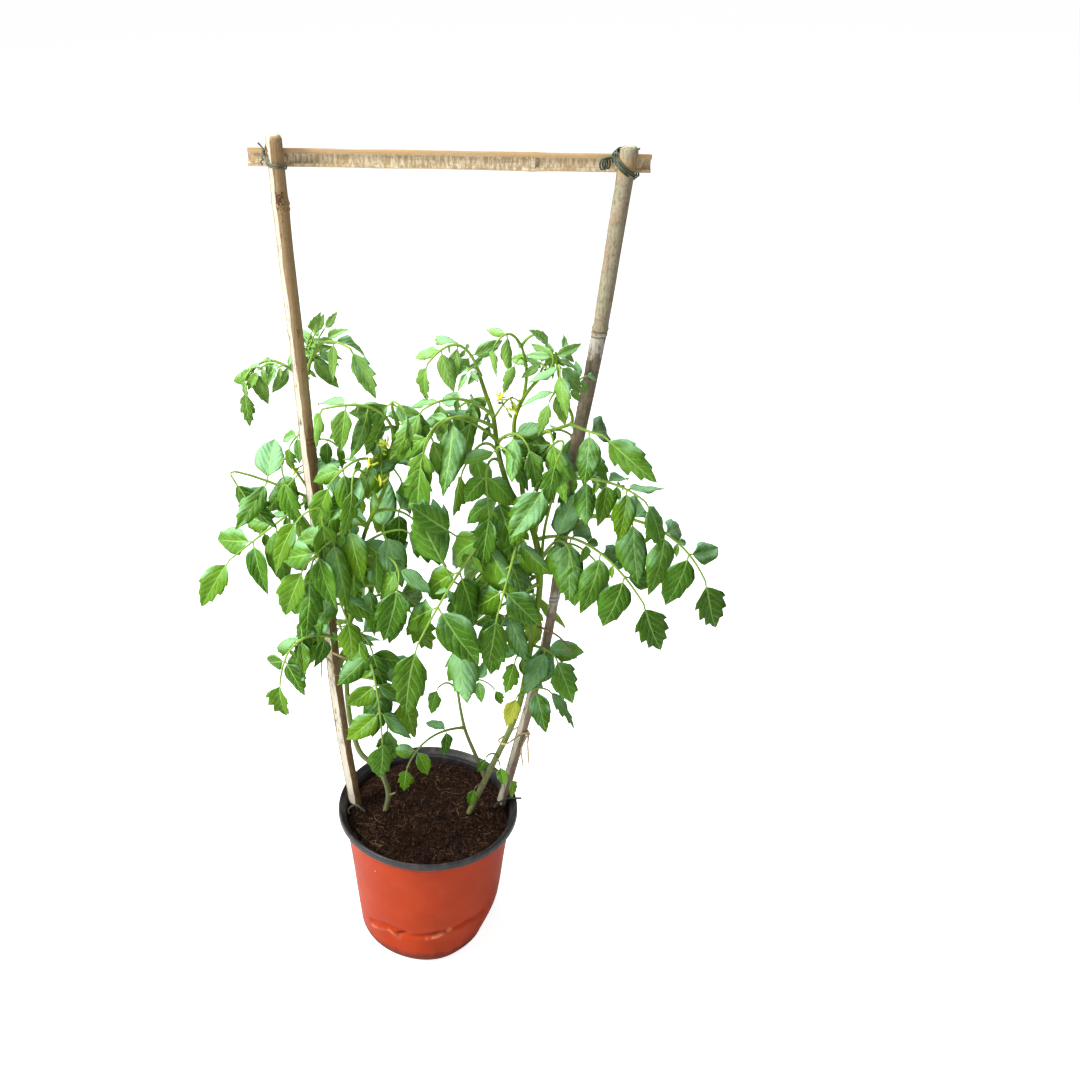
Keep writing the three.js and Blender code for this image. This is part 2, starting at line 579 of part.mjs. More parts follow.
// A compound leaf: its midrib, side leaflets in pairs and an end one, in one skin.
function leafGeometry(leaf) {
  const [, rootAt, middleAt, endAt, pairs, size, faces, hang, draw] = leaf;
  const [root, middle, end] = [rootAt, middleAt, endAt].map(vec);
  const control = middle.clone().multiplyScalar(2).addScaledVector(root, -0.5)
    .addScaledVector(end, -0.5);
  const curve = new THREE.QuadraticBezierCurve3(root, control, end);
  const reach = curve.getLength();
  const facing = compass(faces).multiplyScalar(LEVEL_LOOK).setZ(UPWARD_LOOK);
  const slim = Math.min(1, 0.5 + size / 80);
  const stations = [0, PAIR_START / 2];
  const pairAt = [];
  for (let i = 0; i < pairs; i += 1) {
    const t = THREE.MathUtils.lerp(PAIR_START, PAIR_END, pairShare(i, pairs));
    pairAt.push(stations.length);
    stations.push(t - NECK / reach / 2, t + NECK / reach / 2);
  }
  stations.push(1);
  const skin = new LeafSkin();
  const frames = stations.map((t) => {
    const along = curve.getTangentAt(t);
    const side = new THREE.Vector3().crossVectors(along, facing).normalize();
    const up = new THREE.Vector3().crossVectors(side, along);
    const half = RACHIS_RADIUS * slim * (1 - 0.3 * t);
    const centre = curve.getPointAt(t);
    const points = [[1, 1], [-1, 1], [-1, -1], [1, -1]].map(([a, b]) => skin.point(
      centre.clone().addScaledVector(side, a * half).addScaledVector(up, b * half * 0.8)));
    return { along, side, centre, points };
  });
  const spacing = (reach * (PAIR_END - PAIR_START)) / Math.max(1, pairs - 1);
  const grow = (at, neck, turn, outward, length, key) => {
    const { along, side } = frames[at];
    const angle = THREE.MathUtils.degToRad(turn + TURN_SCATTER * (scatter(key) - 0.5));
    const direction = along.clone().multiplyScalar(Math.cos(angle))
      .addScaledVector(side, outward * Math.sin(angle));
    direction.z -= hang * (0.75 + 0.5 * scatter(key + 1));
    direction.normalize();
    const look = facing.clone().addScaledVector(side, 0.4 * (scatter(key + 2) - 0.5));
    const grown = length * (0.9 + 0.2 * scatter(key + 3));
    const room = outward === 0 || pairs < 2 ? Infinity : spacing * PAIR_ROOM;
    addLeaflet(skin, neck, direction, look, grown, Math.min(LEAFLET_WIDTH * grown, room));
  };
  for (let k = 0; k + 1 < frames.length; k += 1) {
    const [a, b] = [frames[k].points, frames[k + 1].points];
    skin.quad(a[1], a[0], b[0], b[1]);
    skin.quad(a[2], b[2], b[3], a[3]);
    const pair = pairAt.indexOf(k);
    if (pair < 0) {
      skin.quad(a[3], b[3], b[0], a[0]);
      skin.quad(a[1], b[1], b[2], a[2]);
      continue;
    }
    const share = pairShare(pair, pairs);
    const length = size * SIDE_LEAFLET * (1 - 0.25 * Math.abs(share - LONE_PAIR));
    const turn = SIDE_TURN - SIDE_TURN_FALL * share;
    const forward = frames[k].along;
    const centre = frames[k].centre.clone().lerp(frames[k + 1].centre, 0.5);
    const right = { near: [a[0], a[3]], far: [b[0], b[3]], forward, centre, flip: false };
    const left = { near: [a[1], a[2]], far: [b[1], b[2]], forward, centre, flip: true };
    const key = draw * 50 + pair * 8;
    grow(k, right, turn, 1, length, key);
    grow(k, left, turn, -1, length, key + 4);
  }
  const first = frames[0].points;
  skin.quad(first[1], first[2], first[3], first[0]);
  const last = frames[frames.length - 1];
  const [rightTop, leftTop, leftBase, rightBase] = last.points;
  const neck = {
    near: [leftTop, leftBase],
    far: [rightTop, rightBase],
    forward: last.side,
    centre: last.centre,
    flip: true,
  };
  grow(frames.length - 1, neck, 0, 0, size, draw * 50 + 44);
  return skin.geometry();
}

function plantGeometry(plant) {
  const pieces = Object.values(STEMS).filter((stem) => stem.plant === plant)
    .map((stem) => stemShape(stem, 0));
  for (const flower of FLOWERS.filter((each) => each.plant === plant)) {
    const stalk = [vec(flower.from), vec(flower.at)];
    pieces.push(sweep(stalk, 4, round(() => PEDICEL_RADIUS), new THREE.Vector3(0.3, 1, 0.2)));
    const calyx = new THREE.CylinderGeometry(1.7, 0.9, CALYX_LENGTH + 1, 5);
    calyx.rotateX(Math.PI / 2).translate(0, 0, CALYX_LENGTH / 2 - 0.5);
    pieces.push(calyx.applyQuaternion(flowerFrame(flower)).translate(...flower.at));
  }
  pieces.push(...LEAVES.filter((leaf) => leaf[0] === plant).map(leafGeometry));
  return toGeometry(fuse(pieces));
}

// ---- Ties ---------------------------------------------------------------------------------

// A round cord of few sides along a curve through the points.
function cordGeometry(points, radius, steps) {
  const corners = Array.from({ length: CORD_CORNERS }, (_, i) => {
    const angle = (i * 2 * Math.PI) / CORD_CORNERS;
    return new THREE.Vector2(radius * Math.cos(angle), radius * Math.sin(angle));
  });
  return new THREE.ExtrudeGeometry(new THREE.Shape(corners), {
    steps,
    bevelEnabled: false,
    extrudePath: new THREE.CatmullRomCurve3(points, false, "centripetal"),
  });
}

// Wire lashed round a stake and the crossbar behind it, on the slant, its two ends free.
function lashingGeometry(lashing) {
  const middle = vec(lashing.at);
  const slant = new THREE.Vector3(-Math.SQRT1_2, 0, Math.SQRT1_2);
  const shift = new THREE.Vector3(Math.SQRT1_2, 0, Math.SQRT1_2);
  const points = lashing.start.map(vec);
  const bulge = (value) => Math.sign(value) * Math.sqrt(Math.abs(value));
  for (let i = 0; i <= lashing.turns * LASHING_STOPS; i += 1) {
    const angle = (i / LASHING_STOPS) * 2 * Math.PI;
    const sway = LASHING_PITCH * (i / LASHING_STOPS - lashing.turns / 2);
    points.push(middle.clone()
      .addScaledVector(slant, (lashing.across + Math.abs(sway)) * bulge(Math.cos(angle)))
      .addScaledVector(shift, sway)
      .add(new THREE.Vector3(0, -lashing.deep * bulge(Math.sin(angle)), 0)));
  }
  points.push(...lashing.end.map(vec));
  return cordGeometry(points, WIRE_RADIUS, points.length + 2);
}

// Twine tied round a stem and its stake, with both ends hanging from the knot.
function twineGeometry(twine) {
  const points = twine.start.map(vec);
  const [stem, stake] = twine.round;
  const first = THREE.MathUtils.degToRad(twine.knot);
  for (let i = 0; i <= TWINE_STOPS; i += 1) {
    const angle = first + (i / TWINE_STOPS) * 2 * Math.PI * twine.share;
    const outward = new THREE.Vector3(Math.cos(angle), Math.sin(angle), 0);
    const reach = ([x, y, r]) => outward.dot(new THREE.Vector3(x, y, 0)) + r;
    const [x, y, r] = reach(stem) > reach(stake) ? stem : stake;
    points.push(new THREE.Vector3(x, y, twine.height + (i / TWINE_STOPS) * twine.rise)
      .addScaledVector(outward, r + TWINE_RADIUS + 2 * GAP));
  }
  points.push(...twine.end.map(vec));
  return cordGeometry(points, TWINE_RADIUS, points.length + 2);
}

// ---- Flowers ------------------------------------------------------------------------------

function flowerFrame(flower) {
  const up = THREE.MathUtils.degToRad(flower.up);
  const axis = compass(flower.turned).multiplyScalar(Math.cos(up)).setZ(Math.sin(up));
  return new THREE.Quaternion().setFromUnitVectors(new THREE.Vector3(0, 0, 1), axis);
}

// Five narrow petals in a star, bent back round a slim cone.
function flowerGeometry(flower) {
  const foot = CALYX_LENGTH + GAP;
  const cone = new THREE.CylinderGeometry(0.7, 1.5, CONE_LENGTH, 5).rotateX(Math.PI / 2);
  cone.translate(0, 0, foot + CONE_LENGTH / 2);
  const corners = Array.from({ length: 2 * PETALS }, (_, i) => {
    const reach = i % 2 === 0 ? PETAL_LENGTH : PETAL_NOTCH;
    const angle = (i * Math.PI) / PETALS;
    return new THREE.Vector2(reach * Math.cos(angle), reach * Math.sin(angle));
  });
  const star = new THREE.ExtrudeGeometry(
    new THREE.Shape(corners), { depth: LEAF_BLADE, bevelEnabled: false });
  const place = star.attributes.position;
  for (let k = 0; k < place.count; k += 1) {
    const bent = PETAL_BEND * Math.hypot(place.getX(k), place.getY(k));
    place.setZ(k, place.getZ(k) + foot + PETAL_SET - bent);
  }
  const geometry = toGeometry(fuse([cone, star]));
  geometry.applyQuaternion(flowerFrame(flower));
  return geometry.translate(...flower.at);
}

// ---- Assembly -----------------------------------------------------------------------------

const model = new THREE.Group();

function addPiece(name, geometry, color, roughness) {
  const material = new THREE.MeshStandardMaterial({ color, roughness, metalness: 0 });
  const mesh = new THREE.Mesh(geometry, material);
  mesh.name = name;
  model.add(mesh);
}

addPiece("pot", potGeometry(), 0xc84b2d, 0.55);
addPiece("soil", soilGeometry(), 0x2d1c16, 0.95);
for (const [name, stake] of Object.entries(STAKES)) {
  addPiece(name, stakeShape(stake, 0), 0xaf9a74, 0.6);
}
addPiece("crossbar", crossbarGeometry(), 0xcdbd9a, 0.7);
addPiece("plant_left", plantGeometry("plant_left"), 0x4b8237, 0.6);
addPiece("plant_right", plantGeometry("plant_right"), 0x4b8237, 0.6);
for (const [name, lashing] of Object.entries(LASHINGS)) {
  addPiece(name, lashingGeometry(lashing), 0x3f5a3a, 0.5);
}
for (const [name, points] of Object.entries(RIM_WIRES)) {
  addPiece(name, cordGeometry(points.map(vec), WIRE_RADIUS, 14), 0x3a3c38, 0.5);
}
for (const [name, twine] of Object.entries(TWINES)) {
  addPiece(name, twineGeometry(twine), 0xb9a27a, 0.9);
}
FLOWERS.forEach((flower, i) => {
  addPiece(`flower_${i + 1}`, flowerGeometry(flower), 0xf2dc2e, 0.6);
});

export default model;
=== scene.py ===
# Two tomato plants in one two-tone nursery pot, tied to split-bamboo stakes with a crossbar.
# Metres, +Z up, +Y away from the viewer. The origin is the centre of the pot's flat base.
import math
import random
from collections import namedtuple
from itertools import pairwise, starmap

import bmesh
import bpy
from bpy.props import FloatProperty, FloatVectorProperty, IntProperty, PointerProperty
from mathutils import Color, Matrix, Vector, noise
from mathutils.geometry import interpolate_bezier


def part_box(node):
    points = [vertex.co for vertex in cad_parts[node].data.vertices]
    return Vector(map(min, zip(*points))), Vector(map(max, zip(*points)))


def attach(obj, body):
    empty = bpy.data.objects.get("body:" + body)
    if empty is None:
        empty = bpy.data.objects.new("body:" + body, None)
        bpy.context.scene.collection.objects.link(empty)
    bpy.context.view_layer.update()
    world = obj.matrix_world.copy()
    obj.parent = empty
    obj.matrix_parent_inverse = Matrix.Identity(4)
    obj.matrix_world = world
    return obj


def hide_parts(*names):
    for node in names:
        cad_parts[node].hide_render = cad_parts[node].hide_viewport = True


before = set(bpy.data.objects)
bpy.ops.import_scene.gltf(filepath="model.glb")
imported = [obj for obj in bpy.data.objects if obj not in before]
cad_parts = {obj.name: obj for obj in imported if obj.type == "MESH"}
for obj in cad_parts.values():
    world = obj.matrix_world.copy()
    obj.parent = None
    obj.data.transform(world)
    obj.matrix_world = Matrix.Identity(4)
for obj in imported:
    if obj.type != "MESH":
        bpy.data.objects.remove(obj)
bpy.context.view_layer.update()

bl_info = {
    "name": "Potted tomato plant",
    "version": (1, 0, 0),
    "blender": (4, 5, 0),
    "location": "3D View > Sidebar > Tomato",
    "description": "Builds a staked tomato plant in its nursery pot",
    "category": "Object",
}

# ---- Placement ----------------------------------------------------------------------------

LEFT, RIGHT = "plant_left", "plant_right"

# A split stake: centre line from the soil up, rind radius at foot and top, node heights, and
# the compass angle that the rind faces at foot and top.
Stake = namedtuple("Stake", "line radius nodes rind")
# A stem: its plant, its radius at foot and tip, and its line.
Stem = namedtuple("Stem", "plant radius line")
# A compound leaf: its midrib's root, middle and end, side pairs, end leaflet's length, compass
# angle that it faces, how much its leaflets hang, and the number of its own scatter.
Leaf = namedtuple("Leaf", "root middle end pairs size facing hang draw")
# A flower: its plant, the root of its stalk, its place, and the compass angle and the slope
# in degrees that it faces.
Flower = namedtuple("Flower", "plant root at turned up")
# Wire round a crossing: its free start, one turn, how many turns, the step from one to the
# next, and its free end.
Lashing = namedtuple("Lashing", "start turn turns step end")
# Twine round a stem and a stake, each a circle of x, y and radius: its height, its rise on the
# way round, compass angle of its knot, how much of the way it goes, and its free ends.
Twine = namedtuple("Twine", "round height rise knot share start end")

STAKES = {
    "stake_left": Stake(
        [
            (-0.086, 0.011, 0.164), (-0.097, 0.014, 0.258), (-0.104, 0.014, 0.34), (-0.108, 0.015, 0.425),
            (-0.119, 0.015, 0.587), (-0.122, 0.015, 0.64), (-0.127, 0.0135, 0.733),
            (-0.132, 0.012, 0.812), (-0.135, 0.0108, 0.871), (-0.138, 0.0098, 0.935),
        ],
        (0.0076, 0.0089), (0.258, 0.425, 0.64, 0.871), (46, 20)),
    "stake_right": Stake(
        [
            (0.086, 0.0125, 0.164), (0.097, 0.016, 0.215), (0.104, 0.016, 0.252), (0.116, 0.016, 0.315),
            (0.127, 0.016, 0.378), (0.135, 0.015, 0.454), (0.146, 0.015, 0.6), (0.165, 0.0142, 0.752),
            (0.175, 0.0132, 0.862), (0.181, 0.0122, 0.925),
        ],
        (0.0058, 0.008), (0.315, 0.454, 0.6, 0.752), (36, -75)),
}

STEMS = {
    "left_main": Stem(LEFT, (0.0035, 0.0018), [
        (-0.05, 0.001, 0.164), (-0.046, 0, 0.19), (-0.052, -0.005, 0.222), (-0.062, -0.003, 0.236),
        (-0.076, 0.001, 0.248), (-0.083, 0.002, 0.268), (-0.088, 0.002, 0.3), (-0.09, 0.002, 0.34),
        (-0.087, 0.001, 0.385), (-0.083, 0, 0.431), (-0.079, -0.005, 0.478), (-0.07, -0.01, 0.523),
        (-0.06, -0.012, 0.557), (-0.05, -0.012, 0.578), (-0.042, -0.012, 0.6), (-0.038, -0.011, 0.628),
        (-0.029, -0.012, 0.665),
    ]),
    "left_shoot": Stem(LEFT, (0.0026, 0.0014), [
        (-0.086, 0.001, 0.395), (-0.088, 0.02, 0.425), (-0.094, 0.036, 0.455), (-0.101, 0.04, 0.5),
        (-0.111, 0.042, 0.567), (-0.119, 0.042, 0.635), (-0.121, 0.042, 0.703),
    ]),
    "left_truss": Stem(LEFT, (0.0012, 0.0009), [
        (-0.041, -0.012, 0.612), (-0.045, -0.022, 0.63), (-0.047, -0.028, 0.648), (-0.05, -0.032, 0.657),
    ]),
    "right_main": Stem(RIGHT, (0.0034, 0.0034), [
        (0.048, -0.003, 0.164), (0.06, -0.004, 0.198), (0.071, -0.004, 0.229), (0.082, -0.003, 0.257),
        (0.092, -0.002, 0.284), (0.1, -0.002, 0.312), (0.105, -0.002, 0.339), (0.111, -0.002, 0.393),
        (0.115, -0.002, 0.431), (0.118, -0.003, 0.469), (0.117, -0.004, 0.501), (0.11, -0.005, 0.538),
        (0.098, -0.006, 0.57),
    ]),
    "right_limb": Stem(RIGHT, (0.0032, 0.0018), [
        (0.1, -0.006, 0.562), (0.083, -0.005, 0.59), (0.075, -0.005, 0.613), (0.071, -0.005, 0.629),
        (0.068, -0.005, 0.646), (0.064, -0.003, 0.671), (0.057, 0, 0.691), (0.049, 0, 0.715),
    ]),
    "right_top": Stem(RIGHT, (0.0028, 0.0014), [
        (0.099, -0.006, 0.566), (0.094, -0.005, 0.602), (0.091, -0.005, 0.624), (0.086, -0.005, 0.646),
        (0.085, -0.005, 0.665), (0.089, -0.006, 0.681), (0.096, -0.008, 0.697), (0.106, -0.01, 0.711),
        (0.116, -0.014, 0.723),
    ]),
    "right_tip": Stem(RIGHT, (0.0018, 0.0011), [
        (0.093, -0.007, 0.69), (0.095, -0.006, 0.71), (0.094, -0.005, 0.727), (0.089, -0.003, 0.744),
    ]),
    "right_truss": Stem(RIGHT, (0.0012, 0.0008), [
        (0.065, -0.003, 0.668), (0.072, -0.007, 0.682), (0.078, -0.008, 0.69), (0.082, -0.012, 0.694),
    ]),
    "right_shoot": Stem(RIGHT, (0.002, 0.0012), [
        (0.086, -0.005, 0.647), (0.11, -0.014, 0.657), (0.13, -0.02, 0.666), (0.14, -0.02, 0.672),
        (0.134, -0.018, 0.69), (0.126, -0.015, 0.713), (0.121, -0.015, 0.741),
    ]),
    "right_spur": Stem(RIGHT, (0.0018, 0.0013), [
        (0.118, -0.004, 0.496), (0.119, -0.014, 0.549), (0.124, -0.02, 0.587), (0.128, -0.024, 0.613),
    ]),
    "right_branch": Stem(RIGHT, (0.0022, 0.0014), [
        (0.118, -0.004, 0.492), (0.128, -0.01, 0.522), (0.143, -0.016, 0.547), (0.161, -0.022, 0.571),
    ]),
    "right_dry": Stem(RIGHT, (0.0015, 0.0008), [
        (0.113, -0.001, 0.425), (0.126, -0.005, 0.423), (0.141, -0.008, 0.415), (0.157, -0.012, 0.398),
    ]),
    "right_sprout": Stem(RIGHT, (0.0013, 0.0008), [
        (0.053, -0.003, 0.178), (0.05, -0.004, 0.186), (0.052, -0.006, 0.192), (0.05, -0.008, 0.199),
    ]),
    "left_twig": Stem(LEFT, (0.0014, 0.0009), [
        (-0.046, 0, 0.188), (-0.043, -0.004, 0.193), (-0.038, -0.008, 0.199),
    ]),
    "right_low": Stem(RIGHT, (0.0026, 0.0014), [
        (0.066, -0.004, 0.217), (0.056, -0.002, 0.245), (0.043, 0, 0.281), (0.037, 0, 0.31),
        (0.033, 0.002, 0.338),
    ]),
}

LEFT_LEAVES = [
    ((-0.12, 0.042, 0.697), (-0.103, 0.022, 0.736), (-0.074, 0.002, 0.738), 2, 0.04, 265, 0.9, 1),
    ((-0.121, 0.042, 0.685), (-0.159, 0.044, 0.71), (-0.183, 0.036, 0.682), 2, 0.038, 250, 0.7, 53),
    ((-0.121, 0.042, 0.7), (-0.12, 0.042, 0.722), (-0.114, 0.038, 0.741), 1, 0.024, 270, 0.1, 3),
    ((-0.121, 0.042, 0.7), (-0.108, 0.034, 0.725), (-0.098, 0.026, 0.74), 1, 0.024, 280, 0.2, 4),
    ((-0.033, -0.012, 0.649), (-0.051, -0.022, 0.686), (-0.1, -0.032, 0.69), 3, 0.043, 265, 0.9, 32),
    ((-0.119, 0.042, 0.641), (-0.134, 0.044, 0.628), (-0.143, 0.046, 0.615), 1, 0.026, 250, 0.8, 21),
    ((-0.118, 0.042, 0.624), (-0.103, 0.034, 0.628), (-0.093, 0.026, 0.625), 1, 0.022, 280, 0.5, 7),
    ((-0.041, -0.012, 0.611), (-0.064, -0.028, 0.636), (-0.095, -0.046, 0.617), 2, 0.046, 260, 0.7, 10),
    ((-0.111, 0.042, 0.567), (-0.156, 0.05, 0.528), (-0.212, 0.026, 0.491), 3, 0.056, 255, 0.5, 10),
    ((-0.063, -0.012, 0.554), (-0.086, -0.036, 0.559), (-0.124, -0.054, 0.528), 3, 0.058, 255, 0.6, 10),
    ((-0.074, -0.008, 0.508), (-0.066, 0.02, 0.511), (-0.066, 0.04, 0.492), 1, 0.038, 100, 0.6, 44),
    ((-0.085, 0.001, 0.4), (-0.133, -0.034, 0.429), (-0.158, -0.038, 0.376), 3, 0.04, 250, 0.6, 74),
    ((-0.083, 0, 0.421), (-0.06, -0.038, 0.399), (-0.049, -0.062, 0.318), 3, 0.044, 275, 0.5, 39),
    ((-0.079, -0.005, 0.47), (-0.046, -0.022, 0.488), (-0.014, -0.022, 0.466), 2, 0.046, 275, 0.6, 19),
    ((-0.067, -0.01, 0.529), (-0.044, -0.016, 0.547), (-0.024, -0.018, 0.551), 1, 0.054, 280, 0.5, 15),
    ((-0.054, -0.012, 0.569), (-0.034, -0.004, 0.567), (-0.016, 0.006, 0.552), 1, 0.046, 280, 0.5, 16),
    ((-0.083, 0, 0.431), (-0.052, 0.018, 0.452), (-0.02, 0.022, 0.43), 2, 0.046, 280, 0.6, 17),
    ((-0.088, 0.001, 0.358), (-0.098, 0.046, 0.392), (-0.122, 0.086, 0.372), 2, 0.042, 120, 0.4, 18),
    ((-0.103, 0.04, 0.52), (-0.088, 0.074, 0.545), (-0.06, 0.1, 0.522), 2, 0.048, 80, 0.6, 27),
    # Leaves of the crown and the tips, which the CAD solid leaves out.
    ((-0.121, 0.042, 0.703), (-0.112, 0.04, 0.726), (-0.101, 0.038, 0.745), 2, 0.017, 265, 0.1, 92),
    ((-0.121, 0.042, 0.703), (-0.118, 0.04, 0.722), (-0.11, 0.038, 0.741), 2, 0.016, 275, 0, 93),
    ((-0.121, 0.042, 0.703), (-0.114, 0.036, 0.715), (-0.104, 0.03, 0.723), 1, 0.016, 280, 0.3, 94),
    ((-0.135, 0.043, 0.701), (-0.143, 0.038, 0.707), (-0.15, 0.034, 0.705), 2, 0.016, 255, 0.4, 95),
    ((-0.15, 0.042, 0.706), (-0.159, 0.036, 0.709), (-0.168, 0.03, 0.705), 2, 0.018, 250, 0.5, 96),
    ((-0.165, 0.04, 0.702), (-0.173, 0.034, 0.706), (-0.181, 0.028, 0.697), 1, 0.02, 245, 0.6, 97),
    ((-0.029, -0.012, 0.665), (-0.034, -0.02, 0.692), (-0.022, -0.03, 0.688), 1, 0.045, 275, 0.9, 68),
    ((-0.05, -0.012, 0.578), (-0.066, -0.034, 0.627), (-0.073, -0.052, 0.618), 1, 0.046, 268, 0.7, 71),
    ((-0.07, -0.01, 0.523), (-0.036, -0.036, 0.527), (-0.03, -0.056, 0.508), 2, 0.046, 275, 0.6, 72),
    ((-0.063, -0.012, 0.554), (-0.097, -0.03, 0.592), (-0.104, -0.046, 0.578), 1, 0.05, 255, 0.7, 73),
    ((-0.079, -0.005, 0.478), (-0.091, -0.03, 0.487), (-0.084, -0.044, 0.462), 1, 0.04, 275, 0.6, 77),
    ((-0.042, -0.012, 0.6), (-0.048, 0.012, 0.621), (-0.028, 0.02, 0.591), 1, 0.044, 262, 0.7, 80),
    ((-0.07, -0.01, 0.523), (-0.096, -0.04, 0.584), (-0.124, -0.06, 0.588), 0, 0.06, 262, 0.1, 82),
    ((-0.074, -0.008, 0.508), (-0.071, -0.02, 0.546), (-0.074, -0.034, 0.535), 1, 0.05, 268, 0.9, 83),
    ((-0.079, -0.005, 0.478), (-0.107, -0.03, 0.528), (-0.118, -0.05, 0.518), 1, 0.048, 262, 0.7, 84),
    ((-0.109, 0.042, 0.55), (-0.187, 0.022, 0.595), (-0.198, 0.014, 0.592), 1, 0.05, 255, 0.5, 85),
    ((-0.106, 0.041, 0.53), (-0.143, 0.024, 0.608), (-0.147, 0.016, 0.593), 1, 0.045, 262, 0.7, 86),
    ((-0.085, 0.001, 0.4), (-0.072, -0.02, 0.427), (-0.059, -0.036, 0.417), 1, 0.046, 280, 0.5, 87),
    ((-0.088, 0.001, 0.358), (-0.047, -0.02, 0.364), (-0.028, -0.034, 0.359), 1, 0.05, 280, 0.6, 88),
    ((-0.09, 0.002, 0.33), (-0.055, -0.024, 0.327), (-0.044, -0.038, 0.319), 0, 0.05, 275, 0.7, 89),
    ((-0.085, 0.001, 0.4), (-0.13, -0.01, 0.423), (-0.141, -0.024, 0.414), 1, 0.042, 255, 0.6, 90),
    ((-0.081, -0.002, 0.45), (-0.122, -0.016, 0.462), (-0.134, -0.03, 0.453), 1, 0.042, 258, 0.6, 91),
]

